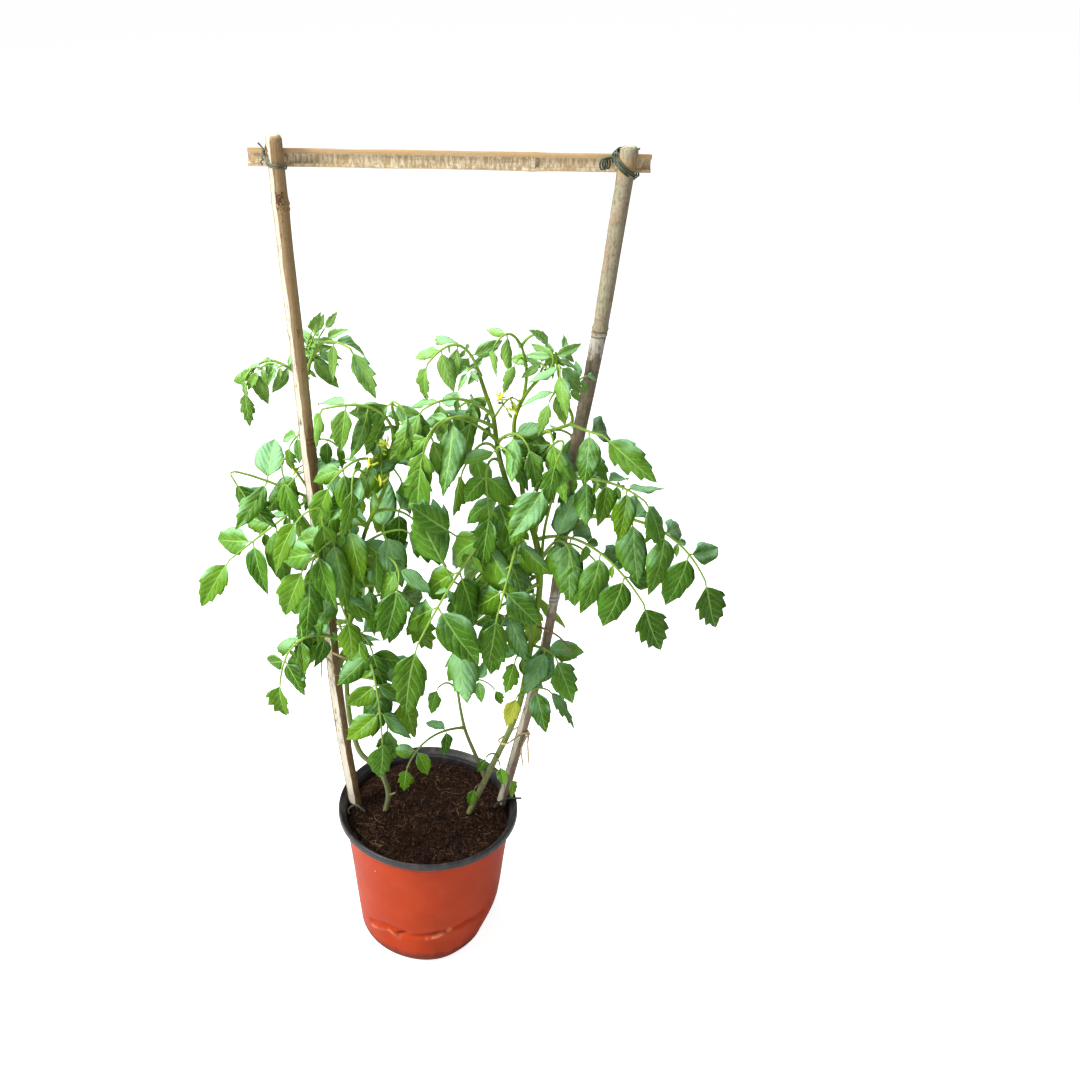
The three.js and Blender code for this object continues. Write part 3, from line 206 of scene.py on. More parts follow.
RIGHT_LEAVES = [
    ((0.051, 0, 0.711), (0.029, -0.004, 0.744), (0, -0.012, 0.728), 3, 0.036, 265, 0.6, 20),
    ((0.064, -0.003, 0.671), (0.029, -0.014, 0.693), (-0.005, -0.03, 0.688), 2, 0.042, 260, 0.8, 27),
    ((0.066, -0.003, 0.658), (0.019, -0.034, 0.68), (-0.006, -0.052, 0.644), 2, 0.054, 265, 0.7, 49),
    ((0.059, 0, 0.686), (0.044, 0.022, 0.677), (0.025, 0.04, 0.656), 2, 0.036, 265, 0.6, 66),
    ((0.07, -0.005, 0.632), (0.054, 0.018, 0.63), (0.036, 0.034, 0.592), 1, 0.046, 250, 0.6, 24),
    ((0.069, -0.005, 0.643), (0.084, -0.022, 0.66), (0.097, -0.034, 0.652), 1, 0.038, 280, 0.5, 25),
    ((0.073, -0.005, 0.622), (0.059, -0.026, 0.628), (0.06, -0.036, 0.59), 1, 0.036, 265, 0.4, 26),
    ((0.093, -0.005, 0.575), (0.075, 0.014, 0.56), (0.059, 0.028, 0.533), 1, 0.056, 265, 0.8, 33),
    ((0.089, -0.003, 0.742), (0.076, -0.012, 0.758), (0.062, -0.02, 0.748), 1, 0.028, 250, 0.5, 32),
    ((0.089, -0.003, 0.742), (0.1, -0.001, 0.753), (0.11, -0.004, 0.75), 0, 0.03, 290, 0.3, 29),
    ((0.094, -0.006, 0.724), (0.089, -0.015, 0.735), (0.083, -0.022, 0.733), 0, 0.026, 270, 0.5, 30),
    ((0.116, -0.014, 0.721), (0.119, -0.016, 0.735), (0.114, -0.016, 0.747), 1, 0.022, 270, 0.1, 31),
    ((0.116, -0.014, 0.721), (0.123, -0.014, 0.735), (0.127, -0.012, 0.742), 1, 0.022, 290, 0.1, 32),
    ((0.116, -0.014, 0.721), (0.109, -0.01, 0.727), (0.1, -0.006, 0.73), 1, 0.022, 260, 0.2, 33),
    ((0.124, -0.015, 0.725), (0.124, -0.024, 0.731), (0.124, -0.032, 0.728), 1, 0.034, 275, 0.6, 38),
    ((0.131, -0.017, 0.697), (0.123, -0.028, 0.707), (0.115, -0.037, 0.7), 1, 0.03, 265, 0.6, 35),
    ((0.117, -0.016, 0.66), (0.119, -0.024, 0.662), (0.121, -0.03, 0.657), 0, 0.048, 270, 0.8, 36),
    ((0.138, -0.02, 0.67), (0.153, -0.028, 0.666), (0.169, -0.036, 0.664), 1, 0.054, 285, 0.7, 38),
    ((0.091, -0.005, 0.624), (0.128, 0.032, 0.64), (0.163, 0.042, 0.612), 2, 0.044, 290, 0.6, 38),
    ((0.128, -0.024, 0.611), (0.174, -0.036, 0.615), (0.213, -0.046, 0.598), 3, 0.044, 285, 0.6, 39),
    ((0.127, -0.023, 0.604), (0.12, -0.034, 0.611), (0.114, -0.042, 0.613), 0, 0.046, 255, 0.7, 40),
    ((0.125, -0.019, 0.583), (0.129, -0.012, 0.594), (0.133, -0.008, 0.596), 0, 0.036, 270, 0.9, 43),
    ((0.161, -0.022, 0.569), (0.232, -0.038, 0.562), (0.281, -0.048, 0.508), 3, 0.056, 290, 0.5, 43),
    ((0.112, -0.004, 0.532), (0.163, -0.04, 0.545), (0.218, -0.062, 0.49), 3, 0.056, 285, 0.6, 43),
    ((0.117, -0.004, 0.507), (0.151, 0.046, 0.5), (0.186, 0.054, 0.47), 1, 0.058, 280, 0.7, 83),
    ((0.112, 0, 0.393), (0.101, -0.014, 0.4), (0.094, -0.022, 0.395), 1, 0.036, 255, 0.6, 45),
    ((0.113, 0, 0.399), (0.128, -0.016, 0.403), (0.137, -0.024, 0.399), 1, 0.042, 285, 0.5, 46),
    ((0.105, 0, 0.335), (0.118, -0.014, 0.352), (0.131, -0.022, 0.355), 1, 0.042, 285, 0.4, 71),
    ((0.094, -0.005, 0.575), (0.042, -0.046, 0.535), (-0.01, -0.084, 0.456), 3, 0.068, 262, 0.6, 52),
    ((0.099, -0.005, 0.565), (0.084, -0.048, 0.528), (0.07, -0.07, 0.481), 3, 0.05, 272, 0.6, 52),
    ((0.117, -0.004, 0.497), (0.08, 0.012, 0.506), (0.044, 0.012, 0.47), 2, 0.052, 265, 0.6, 52),
    ((0.111, -0.002, 0.4), (0.116, 0.045, 0.432), (0.122, 0.082, 0.402), 2, 0.048, 75, 0.6, 53),
    ((0.117, -0.004, 0.48), (0.092, 0.05, 0.52), (0.062, 0.086, 0.5), 2, 0.052, 100, 0.6, 53),
    ((0.041, 0, 0.287), (0.002, -0.032, 0.297), (-0.023, -0.05, 0.27), 2, 0.034, 262, 0.5, 53),
    ((0.105, -0.003, 0.334), (0.102, -0.009, 0.341), (0.098, -0.014, 0.34), 0, 0.028, 262, 0.9, 1),
    ((0.08, -0.004, 0.25), (0.072, -0.01, 0.258), (0.066, -0.013, 0.255), 0, 0.022, 262, 0.5, 2),
    ((0.078, -0.004, 0.246), (0.08, -0.012, 0.25), (0.082, -0.017, 0.246), 0, 0.02, 285, 0.6, 3),
    ((0.064, -0.005, 0.208), (0.058, -0.012, 0.214), (0.054, -0.016, 0.212), 0, 0.022, 262, 0.5, 4),
    ((0.071, -0.003, 0.228), (0.086, -0.009, 0.23), (0.095, -0.012, 0.222), 0, 0.024, 285, 0.5, 5),
    ((0.033, 0.002, 0.336), (0.022, 0, 0.349), (0.011, -0.005, 0.345), 0, 0.027, 255, 0.6, 54),
    ((0.033, 0.002, 0.336), (0.054, -0.004, 0.356), (0.074, -0.009, 0.346), 1, 0.02, 300, 0.3, 56),
    # Leaves of the crown and the tips, which the CAD solid leaves out.
    ((0.049, 0, 0.715), (0.044, -0.006, 0.722), (0.038, -0.012, 0.72), 2, 0.016, 262, 0.3, 98),
    ((0.106, -0.01, 0.712), (0.115, -0.006, 0.73), (0.127, -0.002, 0.735), 2, 0.017, 285, 0.2, 99),
    ((0.131, -0.017, 0.697), (0.142, -0.014, 0.71), (0.152, -0.01, 0.715), 2, 0.018, 290, 0.3, 100),
    ((0.068, -0.005, 0.646), (0.023, -0.03, 0.68), (-0.003, -0.052, 0.661), 1, 0.055, 262, 0.8, 61),
    ((0.083, -0.005, 0.59), (0.051, -0.03, 0.556), (0.024, -0.048, 0.564), 0, 0.056, 262, 0.15, 62),
    ((0.093, -0.005, 0.575), (0.051, -0.038, 0.504), (0.018, -0.062, 0.532), 0, 0.056, 262, 0.1, 63),
    ((0.075, -0.005, 0.613), (0.068, -0.026, 0.647), (0.081, -0.038, 0.645), 1, 0.038, 272, 0.5, 64),
    ((0.11, -0.005, 0.538), (0.116, -0.024, 0.604), (0.106, -0.04, 0.612), 0, 0.045, 255, 0.6, 66),
    ((0.083, -0.005, 0.59), (0.07, -0.022, 0.59), (0.062, -0.034, 0.58), 1, 0.05, 268, 0.9, 70),
    ((0.117, -0.004, 0.48), (0.055, -0.03, 0.451), (0.033, -0.05, 0.439), 1, 0.05, 265, 0.7, 75),
    ((0.11, -0.002, 0.45), (0.096, -0.02, 0.469), (0.075, -0.036, 0.445), 2, 0.046, 268, 0.7, 76),
    ((0.094, -0.005, 0.602), (0.128, -0.028, 0.656), (0.124, -0.044, 0.64), 1, 0.044, 280, 0.8, 78),
    ((0.117, -0.004, 0.507), (0.133, -0.03, 0.546), (0.145, -0.046, 0.532), 1, 0.046, 290, 0.6, 79),
]

FLOWERS = [
    Flower(LEFT, (-0.048, -0.029, 0.65), (-0.042, -0.036, 0.659), 330, -40),
    Flower(LEFT, (-0.046, -0.026, 0.642), (-0.054, -0.037, 0.638), 210, -55),
    Flower(LEFT, (-0.045, -0.022, 0.63), (-0.045, -0.034, 0.618), 250, -62),
    Flower(LEFT, (-0.115, 0.042, 0.604), (-0.136, 0.037, 0.594), 215, -55),
    Flower(RIGHT, (0.08, -0.01, 0.692), (0.082, -0.021, 0.688), 310, -50),
    Flower(RIGHT, (0.073, -0.007, 0.684), (0.071, -0.016, 0.697), 225, -30),
    Flower(RIGHT, (0.09, -0.005, 0.628), (0.099, -0.02, 0.63), 320, -50),
]

LASHINGS = {
    "wire_tie_left": Lashing(
        [(-0.1512, 0.014, 0.9272), (-0.1492, 0.015, 0.9248), (-0.1469, 0.014, 0.9218)],
        [
            (-0.1459, 0.0145, 0.9165), (-0.1447, 0.011, 0.9118), (-0.141, 0.005, 0.9084),
            (-0.134, -0.0004, 0.9085), (-0.1289, 0.0032, 0.9068), (-0.1272, 0.0098, 0.9052),
            (-0.1274, 0.018, 0.9048), (-0.1292, 0.0272, 0.9058), (-0.1339, 0.029, 0.9125),
            (-0.1403, 0.0272, 0.9205), (-0.1438, 0.0195, 0.9235),
        ], 2, (-0.0003, -0.0002, 0.0021),
        [(-0.1462 - 0.00022 * i + 0.001 * math.cos(1.4 * i), 0.0128 + 0.001 * math.sin(1.4 * i),
          0.9215 - 0.00095 * i) for i in range(15)]),
    "wire_tie_right": Lashing(
        [(0.1914, 0.023, 0.9204), (0.1882, 0.025, 0.9182), (0.182, 0.0278, 0.9146),
         (0.175, 0.0272, 0.9168), (0.1708, 0.0225, 0.9186)],
        [
            (0.1663, 0.0162, 0.9168), (0.1668, 0.0125, 0.9128), (0.1695, 0.0068, 0.9085),
            (0.174, 0.0033, 0.9041), (0.1797, 0.0052, 0.8999), (0.1852, 0.011, 0.896),
            (0.188, 0.019, 0.8953), (0.1864, 0.0278, 0.902), (0.1783, 0.0283, 0.9115),
            (0.1708, 0.0235, 0.9182),
        ], 3, (0.0017, -0.0003, 0.0015),
        [(0.1668, 0.0155, 0.9175), (0.166, 0.0142, 0.9142),
         *((0.164 - 0.00026 * i + 0.0028 * math.cos(0.6 * i), 0.014 - 0.0002 * i,
            0.9098 + 0.0048 * math.sin(0.6 * i)) for i in range(32))]),
}
SCARS = [(-0.135, 0.0015, 0.879)]  # where a branch was cut from a stake
SCAR_WIDTH = 0.0075
NODE_LINE = 0.0052  # a bamboo node's lower line lies this far under it

RIM_WIRES = {
    "rim_wire_left": [
        (-0.074, -0.004, 0.168), (-0.079, -0.002, 0.171), (-0.084, 0.0009, 0.173),
        (-0.089, 0.0008, 0.1715), (-0.0934, -0.003, 0.169), (-0.0925, -0.009, 0.168),
    ],
    "rim_wire_right": [
        (0.078, 0.002, 0.168), (0.081, 0.004, 0.172), (0.087, 0.004, 0.1765), (0.094, 0.005, 0.1794),
        (0.102, 0.005, 0.1797), (0.11, 0.004, 0.1805),
    ],
}

TWINES = {
    "raffia_tie_left": Twine([(-0.087, 0.001, 0.0036), (-0.107, 0.015, 0.0088)], 0.384, 0.0034, -130, 0.97,
        [(-0.104, -0.004, 0.366), (-0.104, -0.003, 0.376)], [(-0.116, 0, 0.379), (-0.117, -0.003, 0.363)]),
    "raffia_tie_right": Twine([(0.087, -0.0024, 0.005), (0.107, 0.016, 0.0066)], 0.268, 0.0034, -30, 0.97,
        [(0.109, 0.001, 0.236), (0.107, 0.003, 0.254)], [(0.114, 0.003, 0.262), (0.115, -0.001, 0.244)]),
}

# ---- Dimensions shared by several pieces --------------------------------------------------

POT_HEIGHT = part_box("pot")[1].z
LIP_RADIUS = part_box("pot")[1].x
LIP_FOOT = POT_HEIGHT - 0.009
WALL_TOP, WALL_FOOT = 0.097, 0.082  # outer radius of the wall under the lip and at its foot
BASE_CORNER = 0.012  # radius of the rounding at the foot
WALL = 0.0015  # thickness
CLEAR = 0.0003  # gap kept between pieces that lie on each other

SOIL_TOP = 0.164
SOIL_SWELL = 0.0014  # height of its broad bumps
ROOT_DEPTH = 0.020  # of a stem in the soil
STAKE_DEPTH = 0.060

PAIR_START, PAIR_END = 0.3, 0.76  # first and last pair of leaflets, by share of the midrib
LONE_PAIR = 0.6  # a single pair, by share of the way between those
SIDE_LEAFLET = 0.86  # longest side leaflet, of the end one
# Degrees between a leaflet and the midrib: at the first pair, less at the last, and scatter.
SIDE_TURN, SIDE_TURN_FALL, TURN_SCATTER = 76, 10, 14
LEVEL_LOOK, UPWARD_LOOK = 0.75, 0.66  # how far leaflets face their compass angle, and upwards
LEAF_ARCH = 0.2  # usual drop of a leaflet's tip, of its length
NECK_TWIST = 0.7  # how far a leaflet's width turns to lie along the midrib
FULL_LEAFLET = 0.06  # a longer leaflet is narrower for its length
SMALL_FROM, SMALL_TURN = 0.035, 68  # leaves past this size have small leaflets, turned so
RACHIS_RADIUS = 0.0016  # of a large leaf's midrib
STALK = 0.1  # bare part of a leaflet, of its length
YOUNG_LEAFLET = 0.030  # a shorter leaflet is young: paler, more folded and less toothed

CALYX_LENGTH = 0.0024
PETALS = 5

# Rows of a leaflet from foot to tip: share of the length, half width of its smooth form, what
# teeth add to that on a side leaflet and on an end one, and how far they point forward.
BLADE_ROWS = [
    (0, 0.03, 0, 0, 0), (0.05, 0.3, 0, 0, 0), (0.12, 0.6, 0, 0, 0), (0.2, 0.85, 0, 0.04, 0),
    (0.3, 0.98, 0.02, 0.1, 0.04), (0.345, 1, -0.03, -0.2, 0), (0.45, 0.98, 0, -0.04, 0),
    (0.54, 0.91, 0.03, 0.08, 0.045), (0.585, 0.86, -0.05, -0.26, 0), (0.68, 0.73, 0, -0.1, 0),
    (0.76, 0.59, 0.05, 0.08, 0.04), (0.8, 0.5, -0.05, -0.14, 0), (0.9, 0.26, 0, -0.02, 0),
    (1, 0.02, 0, 0, 0),
]
SIDE_GROWTH, END_GROWTH = 1.32, 1.24  # a leaflet's length, of that in the CAD solids

# Folds in the pot's thin wall: depth inwards, half width and line of each.
CREASES = [
    (0.0034, 0.0034, [(-0.0667, -0.0521, 0.040), (-0.0469, -0.0716, 0.0505),
                      (-0.0268, -0.0814, 0.051), (-0.034, -0.0777, 0.0432)]),
    (0.0042, 0.0036, [(-0.034, -0.0777, 0.0432), (-0.0105, -0.0847, 0.0481),
                      (0.0128, -0.0847, 0.0522), (0.0267, -0.082, 0.0566)]),
    (0.0034, 0.0036, [(0.0128, -0.0847, 0.0513), (0.0314, -0.0802, 0.0563),
                      (0.0466, -0.0731, 0.0618), (0.0673, -0.0541, 0.0584)]),
    (-0.0024, 0.0026, [(-0.0012, -0.0851, 0.0453), (0.0139, -0.0842, 0.0475),
                       (0.0279, -0.0813, 0.0543)]),
    (-0.002, 0.0028, [(-0.0667, -0.0521, 0.034), (-0.0469, -0.0716, 0.044),
                       (-0.034, -0.0777, 0.038)]),
]
# Broad hollows in the wall: depth, half width and middle.
HOLLOWS = [
    (0.0022, 0.017, (-0.045, -0.072, 0.040)),
    (0.0034, 0.020, (0.020, -0.083, 0.034)),
    (0.0115, 0.034, (0.080, -0.030, -0.002)),
    (0.0050, 0.030, (0.050, -0.068, 0.004)),
    (0.0018, 0.030, (0.050, 0.070, 0.060)),
    (0.0014, 0.026, (-0.080, 0.020, 0.090)),
]
CREASE_TOP = 0.1  # no crease reaches higher
FOLD_HIGHLIGHT_AND_WHITENING = 0.0017  # half width of the pale line along a ridge: painted highlight, and the plastic's whitening where it is folded
BASE_FLAT, BASE_EASE = 0.058, 0.018  # the base is flat in to this radius, and eases out past it
LIP_GIVE = 0.25  # how far the stiff lip follows the wall's dents


# ---- Settings -----------------------------------------------------------------------------

def shade(red, green, blue):
    """A colour given as it shows on a screen, each part from 0 to 255."""
    return (*Color((red / 255, green / 255, blue / 255)).from_srgb_to_scene_linear(), 1)


def colour_setting(name, description, default):
    return FloatVectorProperty(
        name=name, description=description, default=default, size=4, min=0, max=1,
        subtype="COLOR")


def length_setting(name, description, default):
    return FloatProperty(name=name, description=description, default=default, min=0, unit="LENGTH")


class PotSettings(bpy.types.PropertyGroup):
    lip_radius: length_setting("Lip radius", "Outer radius of the pot's lip", LIP_RADIUS)
    outside: colour_setting("Outside", "Colour of the wall outside", shade(176, 58, 20))
    inside: colour_setting("Inside", "Colour of the lip and the inside", shade(31, 31, 32))


class SoilSettings(bpy.types.PropertyGroup):
    colour: colour_setting("Soil", "Colour of damp potting soil", shade(32, 18, 12))
    crumbs: IntProperty(name="Crumbs", description="Loose crumbs on the surface", default=1300, min=0)
    fibres: IntProperty(name="Fibres", description="Pale fibres on the surface", default=320, min=0)


class BambooSettings(bpy.types.PropertyGroup):
    tan: colour_setting("Tan rind", "Colour of the left stake", shade(178, 150, 110))
    grey: colour_setting("Weathered rind", "Colour of the right stake", shade(162, 154, 128))
    pith: colour_setting("Pith", "Colour of the crossbar's hollow side", shade(184, 160, 120))
    node_swell: FloatProperty(
        name="Node swell", description="Radius at a node, of the radius between nodes",
        default=1.1, min=1)


class TieSettings(bpy.types.PropertyGroup):
    wire_radius: length_setting("Wire radius", "Radius of the coated wire", 0.0008)
    twine_radius: length_setting("Twine radius", "Radius of the twine", 0.0011)
    wire: colour_setting("Wire", "Colour of the green coated wire", shade(24, 44, 34))
    twine: colour_setting("Twine", "Colour of the twine", shade(196, 168, 122))


class PlantSettings(bpy.types.PropertyGroup):
    leaflet_width: FloatProperty(
        name="Leaflet width", description="Greatest width of a leaflet, of its length",
        default=0.6, min=0.1, max=1)
    blade: length_setting("Blade", "Thickness of a leaflet", 0.0005)
    hairs: IntProperty(name="Hairs", description="Fine hairs on each metre of stem", default=1500, min=0)
    light: colour_setting("Light leaf", "Colour of the young leaflets", shade(98, 150, 52))
    dark: colour_setting("Dark leaf", "Colour of the old leaflets", shade(46, 88, 6))
    # Painted sunlight: the yellow-green laid on some leaflets, most of them low down.
    warm: colour_setting("Warm leaf", "Colour of the yellowest leaflets", shade(104, 142, 8))
    stem: colour_setting("Stem", "Colour of the upper stems", shade(116, 146, 30))
    stalk: colour_setting("Stalk", "Colour of the leaf stalks", shade(142, 178, 78))


class FlowerSettings(bpy.types.PropertyGroup):
    petal_length: length_setting("Petal length", "Length of a petal", 0.0078)
    petal: colour_setting("Petal", "Colour of the petals", shade(212, 224, 60))


class StageSettings(bpy.types.PropertyGroup):
    floor: colour_setting("Floor", "Colour of the floor", shade(246, 246, 246))
    key_power: FloatProperty(
        name="Key light", description="Power of the main soft light", default=72, min=0,
        unit="POWER")


def settings(context):
    return context.scene.tomato_pot


# ---- Shader node helpers ------------------------------------------------------------------

def add_node(tree, kind, inputs=(), **choices):
    """A node with its choices made, and each input linked from a socket or set to a value."""
    node = tree.nodes.new(kind)
    for name, value in choices.items():
        setattr(node, name, value)
    for key, value in dict(inputs).items():
        if isinstance(value, bpy.types.NodeSocket):
            tree.links.new(value, node.inputs[key])
        else:
            node.inputs[key].default_value = value
    return node


def after(kind, inputs, **choices):
    """The outputs of a node placed in the tree of the first socket among its inputs."""
    inputs = dict(inputs)
    tree = next(v.id_data for v in inputs.values() if isinstance(v, bpy.types.NodeSocket))
    return add_node(tree, kind, inputs, **choices).outputs


def calc(operation, *values, clamp=False):
    return after("ShaderNodeMath", enumerate(values), operation=operation, use_clamp=clamp)[0]


def times(value, by, plus=None, clamp=False):
    """A value times another, and a third added to it."""
    if plus is None:
        return calc("MULTIPLY", value, by, clamp=clamp)
    return calc("MULTIPLY_ADD", value, by, plus)


def vector_calc(operation, *values):
    return after("ShaderNodeVectorMath", enumerate(values), operation=operation)


def blend(share, low, high):
    return after("ShaderNodeMix", {0: share, 6: low, 7: high}, data_type="RGBA")[2]


def coat(base, mask, colour, share=1):
    """The base with a share of a colour laid over it where the mask shows."""
    return blend(mask if share == 1 else times(mask, share), base, colour)


def spread(value, low, high, to_low=0, to_high=1):
    """Value as it goes from low to high, eased and held at both ends."""
    inputs = {"Value": value, "From Min": low, "From Max": high, "To Min": to_low, "To Max": to_high}
    return after("ShaderNodeMapRange", inputs, interpolation_type="SMOOTHSTEP")["Result"]


def at_height(rise, middle, half):
    """A soft band round a height."""
    gap = calc("ABSOLUTE", calc("SUBTRACT", rise, middle))
    return spread(gap, half * 0.4, half, 1, 0)


def cloud(where, scale, detail=3, roughness=0.55):
    inputs = {"Vector": where, "Scale": scale, "Detail": detail, "Roughness": roughness}
    return after("ShaderNodeTexNoise", inputs)["Fac"]


def cells(where, scale, **choices):
    return after("ShaderNodeTexVoronoi", {"Vector": where, "Scale": scale}, **choices)


def stretched(where, scale):
    return after("ShaderNodeMapping", {"Vector": where, "Scale": scale})["Vector"]


def bump(height, strength, distance):
    inputs = {"Height": height, "Strength": strength, "Distance": distance}
    return after("ShaderNodeBump", inputs)["Normal"]


def parts_of(vector):
    return after("ShaderNodeSeparateXYZ", {0: vector})


def height_of(where):
    return parts_of(where)["Z"]


def attribute(near, name):
    """A mesh attribute, read in the tree of a socket."""
    return add_node(near.id_data, "ShaderNodeAttribute", attribute_name=name).outputs["Fac"]


def seen(tree):
    """1 to the camera's own rays and 0 to all others."""
    return add_node(tree, "ShaderNodeLightPath").outputs["Is Camera Ray"]


def uv_near(near):
    return add_node(near.id_data, "ShaderNodeTexCoord").outputs["UV"]


def facing_up(near):
    """How far the surface faces up, from -1 to 1."""
    return parts_of(add_node(near.id_data, "ShaderNodeNewGeometry").outputs["Normal"])["Z"]


def new_group(name, inputs, outputs):
    """What the start of a new node group gives, and what its end takes. An input without a
    value is a vector."""
    tree = bpy.data.node_groups.new(name, "ShaderNodeTree")
    for label, value in inputs.items():
        kind = "NodeSocketVector" if value is None else "NodeSocketFloat"
        socket = tree.interface.new_socket(name=label, in_out="INPUT", socket_type=kind)
        if value is not None:
            socket.default_value = value
    for label in outputs:
        tree.interface.new_socket(name=label, in_out="OUTPUT", socket_type="NodeSocketFloat")
    return tree.nodes.new("NodeGroupInput").outputs, tree.nodes.new("NodeGroupOutput").inputs


def put_out(end, *results):
    """The group's tree, its results linked to its end in order."""
    for socket, target in zip(results, end):
        socket.id_data.links.new(socket, target)
    return end[0].id_data


def mottle_group():
    """Uneven colour at two scales, such as age, sun and water leave."""
    start, end = new_group("mottle", {"Vector": None, "Scale": 30, "Fine": 0.3}, ["Mask"])
    broad = cloud(start["Vector"], start["Scale"], 2)
    fine = cloud(start["Vector"], times(start["Scale"], 7), 4, 0.65)
    both = times(calc("SUBTRACT", fine, 0.5), start["Fine"], broad)
    return put_out(end, spread(both, 0.3, 0.7))


def dust_group():
    """Pale dust that settles in patches, most of it on what faces up."""
    start, end = new_group("dust", {"Vector": None, "Amount": 0.5, "Scale": 60}, ["Mask"])
    settled = spread(facing_up(start["Vector"]), -0.6, 1, 0.25, 1)
    patches = spread(cloud(start["Vector"], start["Scale"], 6, 0.7), 0.45, 0.75)
    return put_out(end, times(times(settled, patches), start["Amount"], clamp=True))


def fibre_group():
    """Long fibres along Z: fine lines, a few dark strands, and their height."""
    start, end = new_group("fibres", {"Vector": None, "Across": 900, "Along": 14},
                           ["Lines", "Strands", "Height"])
    scale = after("ShaderNodeCombineXYZ", {
        "X": start["Across"], "Y": start["Across"], "Z": start["Along"]})[0]
    place = vector_calc("MULTIPLY", start["Vector"], scale)[0]
    lines = cloud(place, 1, 3, 0.6)
    strands = cloud(vector_calc("MULTIPLY", place, (0.3, 0.3, 0.4))[0], 1, 2)
    return put_out(end, spread(lines, 0.3, 0.7), spread(strands, 0.56, 0.68), calc("ADD", lines, strands))


def vein_group():
    """A leaflet's net of veins from its own UV map: u across from 0 to 1, v from foot to tip."""
    start, end = new_group("leaf_veins", {"UV": None, "Shift": 0}, ["Midrib", "Veins", "Net", "Height"])
    sway = after("ShaderNodeTexNoise", {
        "Vector": start["UV"], "W": times(start["Shift"], 40), "Scale": 3, "Detail": 1},
        noise_dimensions="4D")["Color"]
    sway = vector_calc("ADD", sway, (-0.5, -0.5, -0.5))[0]
    parts = parts_of(vector_calc("MULTIPLY_ADD", sway, (0.06, 0.16, 0), start["UV"])[0])
    side = times(parts["X"], 2, -1)
    off = calc("ABSOLUTE", side)
    lean = times(times(off, off), -0.26, times(off, -0.3))
    row = times(calc("ADD", parts["Y"], lean), 5.2)
    turn = calc("ADD", times(calc("SIGN", side), 0.2, row), start["Shift"])
    gap = calc("ABSOLUTE", calc("SUBTRACT", calc("FRACT", turn), 0.5))
    veins = times(spread(gap, 0, 0.075, 1, 0), spread(off, 0.2, 0.85, 1, 0.1))
    thin = spread(parts["Y"], 0, 1, 0.075, 0.025)
    midrib = spread(calc("DIVIDE", off, thin), 0.3, 1, 1, 0)
    mesh = cells(stretched(start["UV"], (13, 22, 1)), 1, feature="DISTANCE_TO_EDGE")
    net = spread(mesh["Distance"], 0.02, 0.2, 1, 0)
    quilted = times(net, -0.16, spread(gap, 0, 0.4))
    return put_out(end, midrib, veins, net, times(quilted, spread(off, 0, 0.16, 0.1, 1)))


GROUP_MAKERS = {
    "mottle": mottle_group,
    "dust": dust_group,
    "fibres": fibre_group,
    "leaf_veins": vein_group,
}


def effect(name, **inputs):
    """The outputs of a shared effect, placed in a material with its own values."""
    group = bpy.data.node_groups.get(name) or GROUP_MAKERS[name]()
    return after("ShaderNodeGroup", inputs, node_tree=group)


def mottle(where, scale, fine):
    return effect("mottle", Vector=where, Scale=scale, Fine=fine)["Mask"]


def dust(where, amount, scale):
    return effect("dust", Vector=where, Amount=amount, Scale=scale)["Mask"]


def fibre_marks(where, across, along):
    return effect("fibres", Vector=where, Across=across, Along=along)


def vein_marks(uv, tone):
    return effect("leaf_veins", UV=uv, Shift=tone)


# ---- Materials ----------------------------------------------------------------------------

def new_material(name, specular, **constants):
    """A material with its constant values set, and its Object coordinates."""
    material = bpy.data.materials.new(name)
    material.use_nodes = True
    tree = material.node_tree
    constants["Specular IOR Level"] = specular
    for label, value in constants.items():
        tree.nodes["Principled BSDF"].inputs[label.replace("_", " ")].default_value = value
    return material, add_node(tree, "ShaderNodeTexCoord").outputs["Object"]


def finished(material, colour, gloss, relief=None, glow=None):
    """The material, its shader linked to what was mixed for it. Gloss is what spread turns into
    a roughness, and relief what bump turns into a normal."""
    shader = material.node_tree.nodes["Principled BSDF"].inputs
    linked = {"Base Color": colour, "Roughness": spread(*gloss), "Emission Color": glow,
              "Normal": relief and bump(*relief)}
    for label, socket in linked.items():
        if socket is not None:
            socket.id_data.links.new(socket, shader[label])
    return material


